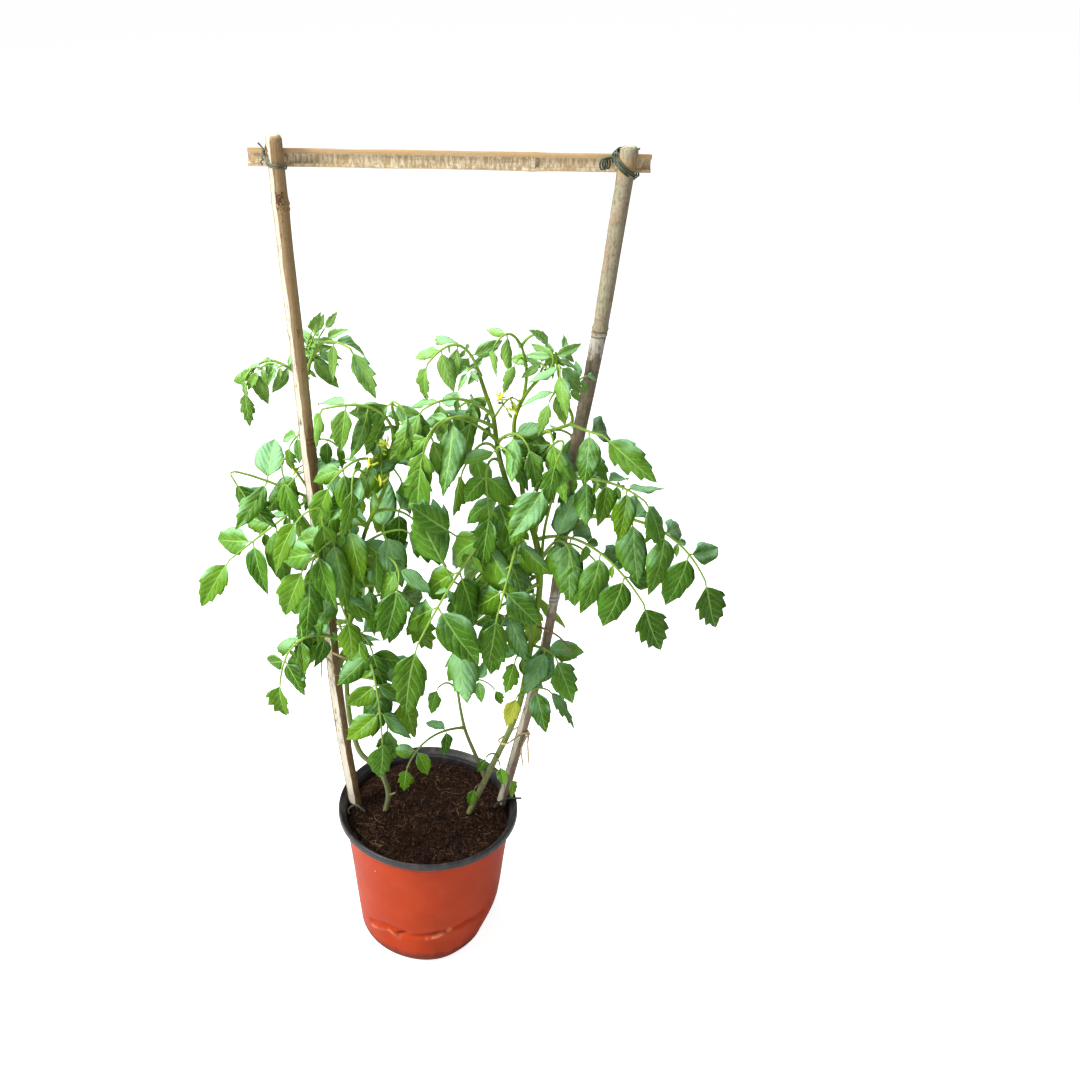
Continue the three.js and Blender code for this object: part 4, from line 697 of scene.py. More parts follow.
def red_plastic(colour):
    """Thin brick-red pot plastic: scuffed, dusty, specked with white, dirty at its foot, with painted
    shade under the lip and a painted highlight, with the plastic's whitening, along its folds' ridges."""
    material, where = new_material("red_plastic", 0.1)
    uneven = mottle(where, 22, 0.35)
    darker = [c * 0.7 for c in colour[:3]] + [1]
    base = blend(times(uneven, 0.35), colour, darker)
    scrape = cloud(stretched(where, (1, 1, 0.12)), 240, 4, 0.7)
    scuffs = spread(scrape, 0.64, 0.76, 0, 0.25)
    base = coat(base, scuffs, shade(222, 116, 84))
    drops = cells(where, 52)["Distance"]
    chosen = spread(cloud(where, 26, 1), 0.6, 0.66)
    specks = times(spread(drops, 0.02, 0.05, 1, 0), chosen)
    base = coat(base, specks, shade(236, 214, 204))
    dusty = dust(where, 0.14, 38)
    base = coat(base, dusty, shade(206, 130, 100))
    rise = height_of(where)
    smear = times(cloud(where, 75, 5, 0.7), 0.022, rise)
    grime = spread(smear, 0.022, 0.031, 0.85, 0)
    base = coat(base, grime, shade(104, 52, 40))
    # Painted highlight: pale strokes along the folds' outward ridges, light caught on them together with
    # the plastic's whitening there.
    folded = attribute(where, "folded")
    strokes = spread(cloud(where, 90, 2), 0.38, 0.6, 0.1, 0.7)
    pale = times(folded, strokes)
    base = coat(base, pale, shade(244, 150, 116))
    # Painted shade: the wall darkens towards the lip, as if in the lip's shadow.
    lip_shade = spread(rise, LIP_FOOT - 0.02, LIP_FOOT, 0, 0.25)
    base = coat(base, lip_shade, shade(150, 46, 28))
    grain = cloud(where, 900, 2)
    return finished(material, base, (calc("MAXIMUM", dusty, scuffs), 0, 0.5, 0.44, 0.66),
                    (grain, 0.12, 0.0004))


def dark_plastic(colour):
    """The grey-black lip and inside, with a bloom of dust and crumbs of soil."""
    material, where = new_material("dark_plastic", 0.35)
    uneven = mottle(where, 40, 0.5)
    base = blend(uneven, colour, shade(52, 51, 53))
    dusty = dust(where, 0.28, 90)
    base = coat(base, dusty, shade(140, 128, 120))
    crumbs = cells(where, 260)["Distance"]
    soiled = times(spread(crumbs, 0.1, 0.2, 1, 0), spread(cloud(where, 30, 2), 0.5, 0.6))
    base = coat(base, soiled, shade(52, 34, 26))
    return finished(material, base, (dusty, 0, 0.6, 0.4, 0.75), (cloud(where, 700, 3), 0.2, 0.0005))


def damp_soil(colour):
    """Dark crumbly peat with paler dry crumbs."""
    material, where = new_material("damp_soil", 0.1)
    uneven = mottle(where, 55, 0.9)
    base = blend(uneven, [c * 0.6 for c in colour[:3]] + [1], colour)
    grains = cells(where, 620)
    lone = parts_of(grains["Color"])["X"]
    base = coat(base, spread(lone, 0.6, 0.95, 0, 0.55), shade(88, 58, 38))
    dry = spread(cloud(where, 210, 6, 0.75), 0.58, 0.74, 0, 0.5)
    base = coat(base, dry, shade(108, 78, 54))
    fine = cloud(where, 900, 6, 0.75)
    lumps = times(grains["Distance"], -0.8, fine)
    return finished(material, base, (dry, 0, 0.6, 0.78, 0.95), (lumps, 0.9, 0.0016))


def straw_fibre():
    """Dry pale fibres lying in the soil."""
    material, where = new_material("straw_fibre", 0.3)
    uneven = mottle(where, 120, 0.6)
    base = blend(uneven, shade(84, 60, 42), shade(176, 144, 106))
    return finished(material, base, (uneven, 0, 1, 0.8, 0.65), (cloud(where, 1800, 2), 0.3, 0.0003))


def bamboo_rind(name, upper, lower, change, nodes, chalk, weathered, bands=()):
    """The smooth outside of bamboo: upper colours above a height, lower ones below it, each a
    ground and its streaks; dark streaks, peeling patches, chalky bands at the nodes, tan bands
    between two heights, and brown scars."""
    material, where = new_material(name, 0.15)
    rise = height_of(where)
    uneven = mottle(stretched(where, (1, 1, 0.3)), 60, 0.6)
    ragged = times(uneven, 0.024, rise)
    high = spread(ragged, change, change + 0.03)
    fibres = fibre_marks(where, 800, 9)
    ground = blend(high, lower[0], upper[0])
    streak = blend(high, lower[1], upper[1])
    base = blend(times(fibres["Lines"], 0.6), ground, streak)
    base = coat(base, fibres["Strands"], streak, 0.6)
    peeled = cloud(stretched(where, (1, 1, 0.45)), 95, 5, 0.6)
    peeled = spread(peeled, 0.5, 0.53)
    base = coat(base, peeled, shade(156, 128, 108), weathered)
    flaky = cloud(stretched(where, (1, 1, 0.6)), 380, 6, 0.8)
    flaky = spread(flaky, 0.5, 0.66, 0, 0.25 + 0.8 * weathered)
    base = coat(base, flaky, [c * 0.55 for c in upper[1][:3]] + [1])
    blotch = cloud(stretched(where, (1, 1, 0.3)), 230, 6, 0.75)
    base = coat(base, spread(blotch, 0.6, 0.66, 0, 0.75), shade(84, 68, 54))
    pale = dust(where, 0.2 + 0.5 * weathered, 80)
    base = coat(base, pale, shade(200, 194, 176))
    wavy = times(uneven, 0.005, rise)
    for low, top in bands:
        band = at_height(wavy, (low + top) / 2, (top - low) / 2)
        base = coat(base, band, shade(184, 144, 98), 0.6)
    for node in nodes:
        ring = at_height(ragged, node, 0.011)
        base = coat(base, ring, shade(206, 204, 194), chalk)
        for line in (0, -NODE_LINE):
            dark = at_height(rise, node + line, 0.0013)
            base = coat(base, dark, shade(92, 78, 62), 0.7)
    for scar in SCARS:
        away = vector_calc("DISTANCE", where, scar)["Value"]
        torn = times(cloud(where, 520, 4), 0.03, away)
        base = coat(base, spread(torn, 0.019, 0.022, 0.9, 0), shade(92, 58, 32))
    height = times(peeled, 0.6 * weathered, fibres["Height"])
    height = calc("ADD", height, flaky)
    return finished(material, base, (fibres["Lines"], 0, 1, 0.5, 0.7), (height, 0.6, 0.0009))


def bamboo_cut(name, colour):
    """The split face: pale torn pith with black specks of mould."""
    material, where = new_material(name, 0.2)
    fibres = fibre_marks(where, 1300, 30)
    base = blend(fibres["Lines"], colour, shade(206, 200, 182))
    base = coat(base, fibres["Strands"], shade(150, 128, 98), 0.5)
    mould = cloud(stretched(where, (1, 1, 0.3)), 240, 5, 0.8)
    patches = spread(cloud(where, 24, 2), 0.42, 0.56)
    dark = times(spread(mould, 0.52, 0.6), patches)
    base = coat(base, dark, shade(46, 40, 36), 0.85)
    return finished(material, base, (fibres["Lines"], 0, 1, 0.75, 0.92), (fibres["Height"], 0.6, 0.0009))


def bamboo_pith(colour):
    """The crossbar's hollow side: straw pith torn across in short strokes."""
    material, where = new_material("bamboo_pith", 0.25)
    torn = cloud(stretched(where, (430, 200, 90)), 1, 5, 0.7)
    long = cloud(stretched(where, (24, 500, 700)), 1, 4, 0.6)
    base = blend(spread(torn, 0.42, 0.6), colour, shade(230, 220, 194))
    base = coat(base, spread(long, 0.52, 0.7, 0, 0.4), shade(140, 108, 70))
    uneven = mottle(where, 28, 0.6)
    base = coat(base, uneven, shade(176, 144, 100), 0.25)
    specks = spread(cloud(where, 520, 4, 0.7), 0.66, 0.72, 0, 0.8)
    base = coat(base, specks, shade(96, 70, 46))
    height = calc("ADD", torn, long)
    return finished(material, base, (torn, 0.3, 0.7, 0.7, 0.9), (height, 0.7, 0.0012))


def bamboo_skin(colour):
    """The crossbar's smooth tan skin, its fibres along X."""
    material, where = new_material("bamboo_skin", 0.4)
    turned = after("ShaderNodeMapping", {"Vector": where, "Rotation": (0, math.pi / 2, 0)})["Vector"]
    fibres = fibre_marks(turned, 700, 10)
    base = blend(fibres["Lines"], colour, shade(206, 172, 122))
    base = coat(base, fibres["Strands"], shade(132, 98, 60), 0.6)
    dusty = dust(where, 0.4, 120)
    base = coat(base, dusty, shade(222, 204, 170))
    return finished(material, base, (fibres["Lines"], 0, 1, 0.45, 0.65), (fibres["Height"], 0.35, 0.0006))


def coated_wire(name, colour, worn):
    """Paper-and-plastic garden wire, dulled and worn paler in places."""
    material, where = new_material(name, 0.4)
    uneven = mottle(where, 160, 0.6)
    base = blend(times(uneven, 0.45), colour, worn)
    dusty = dust(where, 0.25, 200)
    base = coat(base, dusty, shade(150, 156, 142))
    return finished(material, base, (uneven, 0, 1, 0.35, 0.6), (cloud(where, 1500), 0.25, 0.0003))


def dry_twine(colour):
    """Flat dry strands of tying fibre."""
    material, where = new_material("dry_twine", 0.3)
    fibres = fibre_marks(where, 1500, 90)
    base = blend(fibres["Lines"], colour, shade(232, 212, 170))
    base = coat(base, fibres["Strands"], shade(140, 106, 70))
    return finished(material, base, (fibres["Lines"], 0, 1, 0.6, 0.85), (fibres["Height"], 0.5, 0.0004))


def leaf_upper(plant):
    """The upper face: green by age and paler at the young tips, yellow-green on some leaflets as painted
    sunlight, with pale sunk veins, quilted between them; its soft hairs are shown as a painted sheen of
    sky light where it faces up."""
    material, where = new_material(
        "leaf_upper", 0.07, Subsurface_Weight=0.12,
        Subsurface_Radius=(0.3, 1, 0.1), Subsurface_Scale=0.0015)
    uv = uv_near(where)
    tone = attribute(where, "tone")
    veins = vein_marks(uv, tone)
    uneven = mottle(where, 48, 0.5)
    # Painted sunlight: some leaflets, more of them low down, are tinted yellow-green as if lit by the sun.
    warm = attribute(where, "warm")
    age = times(calc("SUBTRACT", uneven, 0.5), 0.25, tone)
    base = blend(spread(age, 0.1, 0.95), plant.dark, plant.light)
    base = coat(base, warm, plant.warm, 0.7)
    raised = times(uneven, 0.05, height_of(where))
    base = coat(base, spread(raised, 0.63, 0.79, 0, 0.5), shade(162, 200, 112))
    # Painted highlight: leaflets that face up turn pale, a painted sheen of the sky on their hairs.
    sky_sheen = spread(times(uneven, 0.2, facing_up(where)), 0.3, 1.05, 0, 0.9)
    base = coat(base, sky_sheen, shade(148, 198, 150))
    base = coat(base, spread(tone, 1.2, 2), shade(172, 172, 62))
    base = coat(base, veins["Net"], shade(112, 160, 48), 0.2)
    lines = times(veins["Veins"], 0.5)
    lines = calc("MAXIMUM", lines, times(veins["Midrib"], 0.66))
    base = coat(base, lines, shade(160, 204, 112))
    crinkle = cloud(where, 190, 3)
    height = times(crinkle, 2.2, veins["Height"])
    return finished(material, base, (calc("ADD", lines, uneven), 0, 1.4, 0.42, 0.6),
                    (height, 0.36, 0.0014))


def leaf_under(plant):
    """The lower face: paler and yellower, with its veins standing out."""
    material, where = new_material(
        "leaf_under", 0.07, Subsurface_Weight=0.12,
        Subsurface_Radius=(0.5, 1, 0.15), Subsurface_Scale=0.0015)
    uv = uv_near(where)
    tone = attribute(where, "tone")
    veins = vein_marks(uv, tone)
    uneven = mottle(where, 48, 0.5)
    base = blend(uneven, shade(112, 148, 30), shade(142, 174, 62))
    base = coat(base, spread(tone, 1.2, 2), shade(206, 196, 92))
    lines = calc("MAXIMUM", times(veins["Veins"], 0.6), veins["Midrib"])
    base = coat(base, lines, shade(186, 202, 140), 0.7)
    height = times(veins["Height"], -1)
    return finished(material, base, (uneven, 0, 1, 0.6, 0.75), (height, 0.55, 0.0013))


def green_stem(name, colour, darker):
    """Stems and stalks: yellow-green above, grey-green and barked near the soil."""
    material, where = new_material(
        name, 0.15, Sheen_Weight=0.05, Sheen_Roughness=0.4,
        Sheen_Tint=shade(220, 230, 200))
    rise = height_of(where)
    uneven = mottle(stretched(where, (1, 1, 0.35)), 110, 0.6)
    above = blend(times(uneven, 0.7), colour, darker)
    below = blend(uneven, shade(98, 100, 68), shade(126, 124, 94))
    waver = times(uneven, 0.05, rise)
    base = blend(spread(waver, 0.22, 0.42), below, above)
    ribs = fibre_marks(where, 700, 30)
    base = coat(base, ribs["Lines"], shade(152, 178, 86), 0.25)
    return finished(material, base, (uneven, 0, 1, 0.45, 0.62), (ribs["Height"], 0.3, 0.0005))


def dried_stem():
    """A dead branch, brown and shrivelled."""
    material, where = new_material("dried_stem", 0.25)
    ribs = fibre_marks(where, 900, 120)
    base = blend(ribs["Lines"], shade(104, 80, 50), shade(168, 142, 96))
    base = coat(base, ribs["Strands"], shade(70, 56, 38), 0.7)
    return finished(material, base, (ribs["Lines"], 0, 1, 0.7, 0.9), (ribs["Height"], 0.7, 0.0008))


def flower_petal(colour):
    """Bright yellow petals, greener and lined towards their foot."""
    material, where = new_material(
        "flower_petal", 0.3, Sheen_Weight=0.2,
        Sheen_Tint=shade(255, 250, 200), Subsurface_Weight=0.15,
        Subsurface_Radius=(1, 0.9, 0.2), Subsurface_Scale=0.001)
    reach = attribute(where, "tone")
    uneven = mottle(where, 400, 0.5)
    base = blend(times(uneven, 0.3), colour, shade(218, 218, 44))
    base = coat(base, spread(reach, 0, 0.35, 0.6, 0), shade(176, 190, 50))
    uv = uv_near(where)
    lines = cloud(stretched(uv, (26, 2, 1)), 1, 2)
    return finished(material, base, (lines, 0.3, 0.7, 0.5, 0.65), (lines, 0.4, 0.0003))


# ---- Mesh helpers -------------------------------------------------------------------------

UP = Vector((0, 0, 1))


def compass(degrees):
    turn = math.radians(degrees)
    return Vector((math.cos(turn), math.sin(turn), 0))


def mixed(low, high, share):
    return low + (high - low) * share


def hump(gap, width):
    """1 at no gap, and less and less further off."""
    return math.exp(-(gap / width) ** 2)


def scatter(seed):
    """A repeatable number from 0 to 1."""
    value = math.sin(seed * 12.9898 + 4.1414) * 43758.5453
    return value - math.floor(value)


def smooth_path(points, step):
    """Points about a step apart on a smooth curve through the given ones."""
    points = [Vector(p) for p in points]
    path = [points[0]]
    for i, (start, end) in enumerate(pairwise(points)):
        before = points[i - 1] if i else start * 2 - end
        after = points[i + 2] if i + 2 < len(points) else end * 2 - start
        reach = (end - start).length / 3
        leave = start + (end - before).normalized() * reach
        arrive = end - (after - start).normalized() * reach
        count = max(1, math.ceil(reach * 3 / step)) + 1
        path += interpolate_bezier(start, leave, arrive, end, count)[1:]
    return path


def frame_at(path, i, lead):
    """A frame at a point of a path: Z along it, X as near to lead as can be."""
    along = (path[min(i + 1, len(path) - 1)] - path[max(i - 1, 0)]).normalized()
    side = along.cross(lead).normalized()
    placed = Matrix((side.cross(along), side, along)).transposed().to_4x4()
    placed.translation = path[i]
    return placed


def frames_along(path, lead=(0.2, 1, 0.1)):
    """A frame at each point of a path, with no sudden turn from one to the next."""
    frames = []
    lead = Vector(lead)
    for i in range(len(path)):
        frames.append(frame_at(path, i, lead))
        lead = frames[-1].to_3x3().col[0]
    return frames


def round_outline(sides, across=1.0, through=1.0):
    """Points round an oval."""
    turns = [2 * math.pi * i / sides for i in range(sides)]
    return [(across * math.cos(a), through * math.sin(a)) for a in turns]


def sweep(outline, frames, sizes, material=0, marks=None):
    """A closed tube: the outline at the first frame, extruded from frame to frame. Marks, one
    for each outline point, are kept on the vertices that come from it."""
    bm = bmesh.new()
    mark = bm.verts.layers.float.new("mark") if marks else None
    ring = bmesh.ops.create_circle(bm, cap_ends=True, segments=len(outline), radius=1)["verts"]
    for i, (vert, (x, y)) in enumerate(zip(ring, outline)):
        vert.co = (x, y, 0)
        if marks:
            vert[mark] = marks[i]
    places = [f @ Matrix.Scale(size, 4) for f, size in zip(frames, sizes)]
    edges = bm.edges[:]
    bmesh.ops.transform(bm, matrix=places[0], verts=ring)
    for before, after in pairwise(places):
        grown = bmesh.ops.extrude_edge_only(bm, edges=edges)["geom"]
        verts = [g for g in grown if isinstance(g, bmesh.types.BMVert)]
        edges = [g for g in grown if isinstance(g, bmesh.types.BMEdge)]
        bmesh.ops.transform(bm, matrix=after @ before.inverted(), verts=verts)
    bmesh.ops.edgeloop_fill(bm, edges=edges)
    bmesh.ops.recalc_face_normals(bm, faces=bm.faces)
    for face in bm.faces:
        face.material_index = material
    return bm


def tube(points, radii, sides, step, material=0):
    """A round tube along a smooth path, its radius going through the given ones in even steps."""
    path = smooth_path(points, step)
    last = len(path) - 1
    spans = len(radii) - 1
    sizes = []
    for i in range(len(path)):
        at = i / last * spans
        k = min(int(at), spans - 1)
        sizes.append(mixed(radii[k], radii[k + 1], at - k))
    return sweep(round_outline(sides), frames_along(path), sizes, material)


def mesh_of(name, bm):
    mesh = bpy.data.meshes.new(name)
    bm.to_mesh(mesh)
    bm.free()
    return mesh


def join(whole, part):
    """Take a bmesh into a piece's own."""
    mesh = mesh_of("part", part)
    whole.from_mesh(mesh)
    bpy.data.meshes.remove(mesh)


def add_object(context, name, data):
    thing = bpy.data.objects.new(name, data)
    context.scene.collection.objects.link(thing)
    return thing


def finish_piece(context, name, bm, materials, slot, *nodes, crisp=50):
    """Make a piece of the bmesh in place of its CAD nodes. Edges sharper than crisp degrees
    stay sharp."""
    mesh = mesh_of(name, bm)
    for material in materials:
        mesh.materials.append(material)
    mesh.shade_smooth()
    mesh.set_sharp_from_angle(angle=math.radians(crisp))
    piece = add_object(context, name, mesh)
    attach(piece, "root")
    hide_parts(*nodes)
    return piece


# ---- Pot and soil -------------------------------------------------------------------------

def wall_radius(z):
    return mixed(WALL_FOOT, WALL_TOP, (z - BASE_CORNER) / (LIP_FOOT - BASE_CORNER))


def gap_to_line(point, line):
    """Distance from a point to a broken line."""
    gaps = []
    for start, end in pairwise([Vector(p) for p in line]):
        run = end - start
        share = min(1, max(0, (point - start).dot(run) / run.length_squared))
        gaps.append((point - start - run * share).length)
    return min(gaps)


def dent(point):
    """How far the pot's wall is pushed in at a point of its round form."""
    inward = sum(depth * hump((point - Vector(middle)).length, width) for depth, width, middle in HOLLOWS)
    if point.z < CREASE_TOP and point.y < 0:
        inward += sum(depth * hump(gap_to_line(point, line), width) for depth, width, line in CREASES)
    waver = noise.noise(point * 24) * 0.0003 + noise.noise(point * 70) * 0.00012
    return inward + waver


def corner_arc(radius, wall, base):
    """Rounding from the pot's base to its wall."""
    turns = [math.radians(15 * i) for i in range(7)]
    return [(wall - radius * (1 - math.sin(a)), base + radius * (1 - math.cos(a))) for a in turns]


HOLES, HOLE_RADIUS, HOLE_CIRCLE = 6, 0.005, 0.048
POT_STEPS = 240


def pot_outline(lip):
    """The pot's profile from the middle of its underside round its wall to the middle inside,
    with the number of rows that each stretch is cut into."""
    foot = WALL_FOOT - BASE_CORNER
    ring = [(0, 0, 1), (0.04, 0, 12), (0.056, 0, 2)]
    ring += [(r, z, 1) for r, z in corner_arc(BASE_CORNER, WALL_FOOT, 0)]
    ring[-1] = (*ring[-1][:2], 78)
    ring += [
        (WALL_TOP, LIP_FOOT, 1), (WALL_TOP + 0.0006, LIP_FOOT + 0.0004, 2),
        (lip - 0.0016, LIP_FOOT + 0.0003, 1), (lip - 0.0005, LIP_FOOT + 0.0008, 1),
        (lip, LIP_FOOT + 0.0018, 3), (lip - 0.0002, LIP_FOOT + 0.006, 1),
        (lip - 0.0006, POT_HEIGHT - 0.0011, 1), (lip - 0.0013, POT_HEIGHT - 0.0002, 1),
        (lip - 0.0022, POT_HEIGHT, 1), (lip - 0.0030, POT_HEIGHT - 0.0004, 1),
        (lip - 0.0036, POT_HEIGHT - 0.0014, 2), (lip - 0.0064, POT_HEIGHT - 0.0046, 1),
        (lip - 0.0070, POT_HEIGHT - 0.0052, 1), (lip - 0.0078, POT_HEIGHT - 0.0055, 1),
        (lip - 0.0082, POT_HEIGHT - 0.0062, 1), (lip - 0.0084, POT_HEIGHT - 0.0085, 1),
        (lip - 0.0090, POT_HEIGHT - 0.0090, 1), (lip - 0.0094, POT_HEIGHT - 0.0098, 78),
    ]
    inner = corner_arc(BASE_CORNER - WALL, WALL_FOOT - WALL, WALL)
    ring += [(r, z, 1) for r, z in reversed(inner)]
    ring += [(foot - 0.014, WALL, 12), (0.04, WALL, 1), (0, WALL, 1)]
    return ring


def cut_drain_holes(bm):
    """Take out the faces of each hole above and below, round its edge and wall it."""
    for k in range(HOLES):
        middle = compass((k + 0.5) * 360 / HOLES) * HOLE_CIRCLE

        def off(place):
            return (place.xy - middle.xy).length

        gone = [f for f in bm.faces if off(f.calc_center_median()) < HOLE_RADIUS]
        bmesh.ops.delete(bm, geom=gone, context="FACES")
        edges = [e for e in bm.edges if e.is_boundary]
        for vert in {v for e in edges for v in e.verts}:
            out = (vert.co.xy - middle.xy).normalized() * HOLE_RADIUS
            vert.co.xy = middle.xy + out
        bmesh.ops.bridge_loops(bm, edges=edges)


def mark_fold_highlights(bm):
    """Mark the wall's vertices by how near they lie to a fold's outward ridge, where the painted highlight
    and whitening go.
    """
    folded = bm.verts.layers.float.new("folded")
    ridges = [line for depth, _, line in CREASES if depth < 0]
    for vert in bm.verts:
        if vert.co.z < CREASE_TOP and vert.co.y < 0:
            vert[folded] = hump(min(gap_to_line(vert.co, line) for line in ridges), FOLD_HIGHLIGHT_AND_WHITENING)


def push_in(bm):
    """Dent what lies out at the pot's wall: less at the lip, and less in towards the base."""
    for vert in bm.verts:
        z, out = vert.co.z, vert.co.xy.length
        if out > BASE_FLAT:
            radial = Vector((*vert.co.xy.normalized(), 0))
            held = min(1, (out - BASE_FLAT) / BASE_EASE) * (1 if z < LIP_FOOT - 0.01 else LIP_GIVE)
            vert.co -= radial * dent(radial * wall_radius(z) + UP * z) * held


def turned_form(profile, steps):
    """A profile turned round Z. Each of its points holds its radius, its height and the number
    of rows up to the next point."""
    bm = bmesh.new()
    verts = [bm.verts.new((r, 0, z)) for r, z, _ in profile]
    edges = [bm.edges.new(pair) for pair in pairwise(verts)]
    for edge, (_, _, rows) in zip(edges, profile):
        if rows > 1:
            bmesh.ops.subdivide_edges(bm, edges=[edge], cuts=rows - 1)
    bmesh.ops.spin(
        bm, geom=bm.verts[:] + bm.edges[:], cent=(0, 0, 0), axis=(0, 0, 1), dvec=(0, 0, 0),
        angle=2 * math.pi, steps=steps, use_merge=True)
    bmesh.ops.remove_doubles(bm, verts=bm.verts, dist=1e-6)
    return bm


def build_pot(context):
    chosen = settings(context).pot
    bm = turned_form(pot_outline(chosen.lip_radius), POT_STEPS)
    cut_drain_holes(bm)
    bmesh.ops.recalc_face_normals(bm, faces=bm.faces)
    for face in bm.faces:
        centre = face.calc_center_median()
        outward = face.normal.xy.dot(centre.xy.normalized())
        outside = outward > 0.2 and centre.z < LIP_FOOT
        below = centre.z < 0.0005 and face.normal.z < -0.5
        face.material_index = 0 if outside or below else 1
    mark_fold_highlights(bm)
    push_in(bm)
    materials = [red_plastic(chosen.outside), dark_plastic(chosen.inside)]
    finish_piece(context, "nursery_pot", bm, materials, "pot_plastic", "pot", crisp=60)


SOIL_RADIUS = 0.0945
SOIL_EDGE = 0.084  # the surface sinks a little outside this radius
SOIL_ROWS, SOIL_STEPS = 67, 216
STRAWS, STRAW_PLACE, STRAW_SPREAD = 16, (-0.058, -0.046), 0.012  # long ones that lie together


def rooted(stem):
    """Whether a stem or stake stands in the soil."""
    return stem.line[0][2] <= SOIL_TOP


def soil_height(x, y):
    swell = math.sin(x / 0.017 + 1) * math.cos(y / 0.021) + 0.5 * math.sin((x - y) / 0.009)
    place = Vector((x, y, 0))
    rough = noise.fractal(place * 95, 0.9, 2.0, 4) * 0.0011
    clods = max(0, noise.noise(place * 130 + Vector((3, 5, 7)))) ** 2 * 0.0034
    heap = 0
    for stem in filter(rooted, (*STAKES.values(), *STEMS.values())):
        gap = math.dist((x, y), stem.line[0][:2]) - stem.radius[0]
        heap += 0.0022 * hump(max(0, gap), 0.007)
    edge = max(0, math.hypot(x, y) - SOIL_EDGE) / (SOIL_RADIUS - SOIL_EDGE)
    return SOIL_TOP + SOIL_SWELL * swell + rough + clods + heap - 0.0024 * edge * edge


def build_soil(context):
    chosen = settings(context).soil
    rng = random.Random(7)
    floor = WALL + CLEAR
    bm = turned_form([
        (0, floor, 1), (WALL_FOOT - BASE_CORNER, floor, 1), (WALL_FOOT - 0.006, floor + 0.0028, 1),
        (WALL_FOOT - 0.0034, BASE_CORNER, 41), (SOIL_RADIUS, SOIL_TOP - 0.002, 1),
        (SOIL_RADIUS - 0.0006, SOIL_TOP, SOIL_ROWS), (0, SOIL_TOP, 1)], SOIL_STEPS)
    bmesh.ops.recalc_face_normals(bm, faces=bm.faces)
    push_in(bm)
    for vert in bm.verts:
        if vert.co.z > SOIL_TOP - 0.001:
            vert.co.z = soil_height(vert.co.x, vert.co.y)
    for _ in range(chosen.crumbs):
        away = compass(rng.uniform(0, 360)) * (SOIL_RADIUS - 0.003) * math.sqrt(rng.random())
        size = rng.uniform(0.0005, 0.0012) + 0.0014 * rng.random() ** 5
        away.z = soil_height(away.x, away.y) + size * 0.35
        turned = Matrix.Rotation(rng.uniform(0, 6), 4, Vector((rng.random(), 1, rng.random())))
        shape = Matrix.Diagonal((rng.uniform(0.6, 1.3), rng.uniform(0.6, 1.2), 0.7, 1))
        bmesh.ops.create_icosphere(
            bm, subdivisions=1, radius=size,
            matrix=Matrix.Translation(away) @ turned @ shape)
    straws = [(compass(rng.uniform(0, 360)) * 0.088 * math.sqrt(rng.random()),
               rng.uniform(0, 360), rng.uniform(0.004, 0.013), rng.uniform(0.00008, 0.0002))
              for _ in range(chosen.fibres)]
    straws += [(Vector([rng.gauss(0, STRAW_SPREAD) + at for at in STRAW_PLACE] + [0]),
                rng.gauss(-35, 28), rng.uniform(0.012, 0.026), rng.uniform(0.00012, 0.00028))
               for _ in range(STRAWS)]
    for middle, turned, length, radius in straws:
        bow = compass(turned + 90) * rng.uniform(-0.25, 0.25) * length
        points = []
        for share in (-0.5, -0.15, 0.2, 0.5):
            point = middle + compass(turned) * share * length + bow * (share * share * 4)
            if point.length > SOIL_RADIUS - 0.002:
                point *= (SOIL_RADIUS - 0.002) / point.length
            point.z = soil_height(point.x, point.y) + radius + rng.uniform(0.0001, 0.0011)
            points.append(point)
        join(bm, tube(points, (radius, radius * 0.6), 3, length, 1))
    materials = [damp_soil(chosen.colour), straw_fibre()]
    finish_piece(context, "soil_bed", bm, materials, "soil", "soil", crisp=70)


# ---- Bamboo -------------------------------------------------------------------------------

STAKE_SIDES = 24
CUT_SHARE = 0.5  # how far the flat cut lies behind a stake's middle, of its radius


def stake_outline():
    """A culm with one side split off: round rind, and a cut face that is slightly hollow. The
    marks tell the points of the cut face."""
    points, marks = [], []
    for x, y in round_outline(STAKE_SIDES):
        cut = x < -CUT_SHARE
        points.append((-CUT_SHARE + 0.12 * (0.75 - y * y) if cut else x, y))
        marks.append(1.0 if cut else 0.0)
    return points, marks


def sunk(line, depth):
    """A line of points carried on straight below its first."""
    foot, above = Vector(line[0]), Vector(line[1])
    return [foot - (above - foot).normalized() * depth, *line]


# Ridges and grooves round a bamboo node: growth of the radius, height over the node, half width.
NODE_RINGS = [
    (0.06, 0.0026, 0.0012), (-0.08, -0.0002, 0.0011), (0.04, -0.003, 0.0012),
    (-0.05, -NODE_LINE, 0.0011),
]


def node_shape(z, nodes, swell):
    """Radius at a height, of the radius between nodes."""
    size = 1.0
    for node in nodes:
        size += (swell - 1) * hump(z - node, 0.006)
        for growth, rise, width in NODE_RINGS:
            size += growth * hump(z - node - rise, width)
    return size


